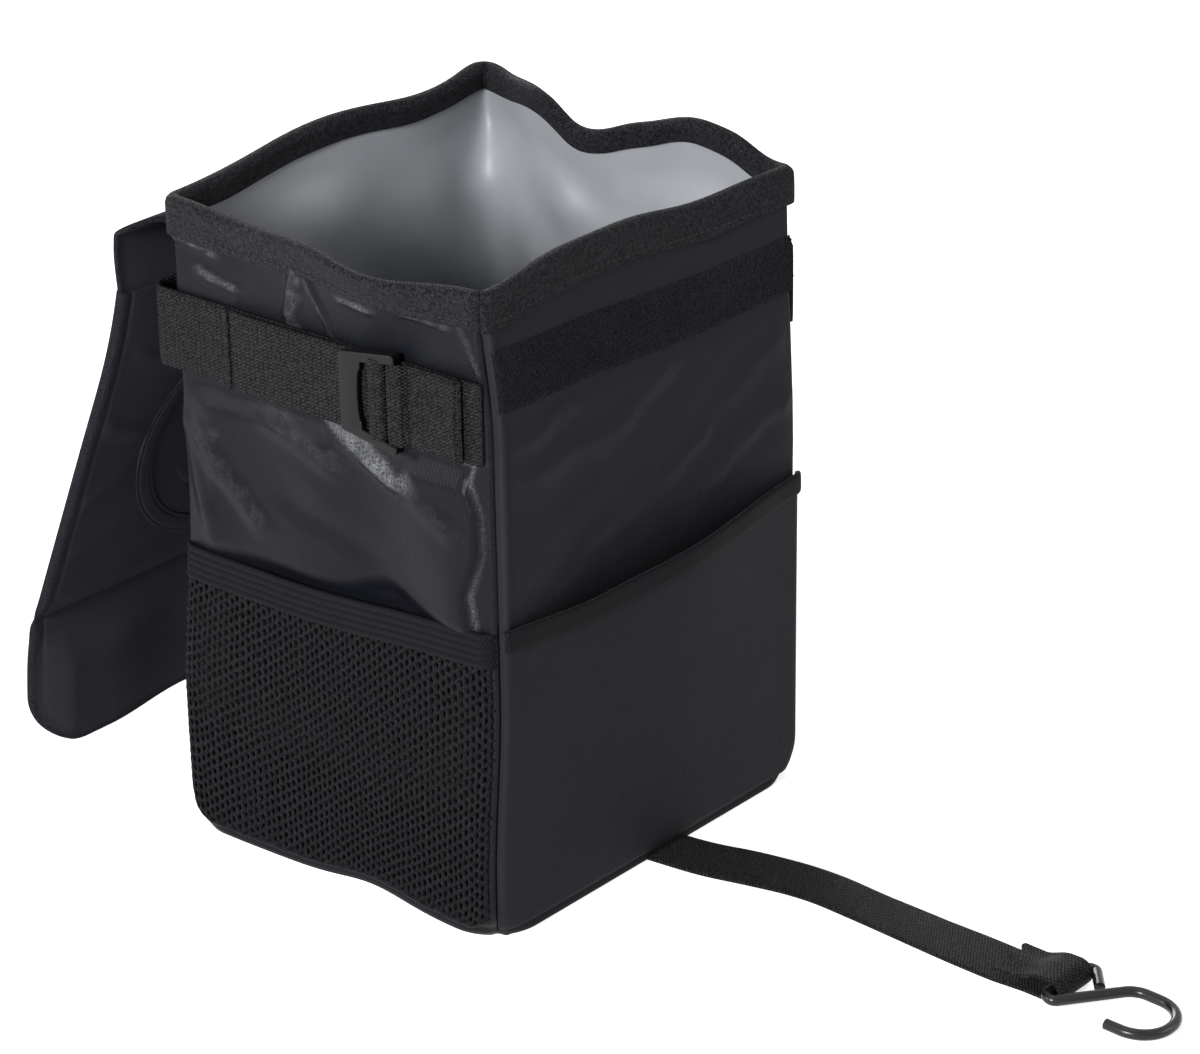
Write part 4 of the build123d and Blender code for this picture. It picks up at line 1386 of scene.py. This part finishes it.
# %% [markdown]
# The slit is a narrow ring of faces, taken out of the membrane over part of its turn.

# %% Slit membrane
slit_reach = math.radians(42)
slit_radii = np.concatenate([np.linspace(0, 0.03993, 28), np.linspace(0.04001, 0.0527, 10)])
membrane = polar_sheet(
    "slit_membrane", slit_radii,
    lambda r, a: 0.0048 + 0.0004 * slack(r * np.cos(a), r * np.sin(a), 95, 0.035)
    + 0.0004 * bell(r, 0.0380, 0.006) * np.clip(-np.sin(a), 0, 1) ** 3 * (r < 0.040),
)
make_active(membrane)
bpy.ops.object.mode_set(mode="EDIT")
bpy.ops.mesh.select_all(action="DESELECT")
bpy.ops.object.mode_set(mode="OBJECT")
up_lid = np.array((-math.cos(hang), math.sin(hang)))
for face in membrane.data.polygons:
    x = face.center.x
    d = (np.array(face.center[1:]) - middle[1:]) @ up_lid
    face.select = 0.0399 < math.hypot(x, d) < 0.0401 and abs(math.atan2(x, -d)) < slit_reach
bpy.ops.object.mode_set(mode="EDIT")
bpy.ops.mesh.select_mode(type="FACE")
bpy.ops.mesh.delete(type="FACE")
bpy.ops.object.mode_set(mode="OBJECT")
thicken(membrane, 0.0009)
hand_over(membrane, lid_cloth, "lid", "lid_cloth", "lid_membrane")

# %% [markdown]
# Cloth joins the lid to the back wall. It is a short web from below the rim tape, over a loose fold and down
# to the lid's top edge.

# %% Hinge web
web_seam = 0.1585
lid_top = lid_spot(-lid_half, web_seam, lid_middle) * (0, 1, 1)
web_line = spline_points("web_line", [
    (0, 0.0806, 0.2230), (0, 0.0812, 0.2335), (0, 0.0838, 0.2396), (0, 0.0900, 0.2366),
    (0, 0.0950, 0.2334), (0, 0.0954, 0.2326), (0, 0.0962, 0.2230), tuple(lid_top),
])


def hinge_web(across, along):
    """Along the web's line: on the wall at first, then out to the lid's width and on to its top edge."""
    spot = walk(web_line, along)
    half = 0.0740 + 0.0170 * ease((along - 0.18) / 0.32)
    x = (2 * across - 1) * half
    share = np.clip(0.5 - x / front_run, 0, 1)
    wall = bag_point("back", share, np.minimum(spot[:, 2], 0.247), np.full_like(x, 0.0040))
    spot[:, 1] += (wall[:, 1] - spot[:, 1]) * (1 - ease(along / 0.42))
    spot[:, 0] = x
    seam = np.full_like(x, web_seam)
    shift = lid_point(x, seam, lid_middle + 0.5 * lid_hollow(x, seam)) - lid_top
    spot[:, 1:] += shift[:, 1:] * ease((along - 0.35) / 0.55)[:, None]
    spot[:, 1] += 0.0006 * slack(x, along * 0.05, 97, 0.06) * ease(along / 0.3) * ease((1 - along) / 0.3)
    return spot


# Both long sides of the web are painted darker, as painted shade.
web = cloth_sheet(
    "lid_hinge_cloth", 110, 50, (0.170, 0.060), lambda s, t: hinge_web(1 - s, t),
    lambda s, t: 1 - ease((0.5 - np.abs(s - 0.5)) / 0.03))
thicken(web, 0.0020, 0)
use_modifier(web, "BEVEL", width=0.0006, segments=2, limit_method="ANGLE", angle_limit=math.radians(50))
hand_over(web, lid_cloth, None, "lid_cloth", "lid_hinge_web")
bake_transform(web)

# %% [markdown]
# The strip inside the flap holds on to the loops on the front wall. It is a field of stiff bristles, so its
# face is a fine grid of bumps.


# %% Hook strip on the flap
hook_length, hook_tall, bristle_pitch = 0.150, 0.020, 0.0015


def hook_sheet(across, up):
    x = (across - 0.5) * hook_length
    d = -0.034 - hook_tall * up
    border = np.minimum(np.minimum(up, 1 - up) * hook_tall, np.minimum(across, 1 - across) * hook_length)
    bristle = np.sin(x * math.pi / bristle_pitch) * np.sin(d * math.pi / bristle_pitch)
    bristle = 0.0003 * np.abs(bristle)
    return lid_point(x, d, -0.0004 - 0.0009 * ease(border / 0.0008) - bristle)


hook_strip = cloth_sheet("hook_bristle_strip", 300, 40, (hook_length, hook_tall), hook_sheet)
thicken(hook_strip, 0.0004)
hand_over(hook_strip, hook_pile, "flap", "hook_pile", "hook_strip")
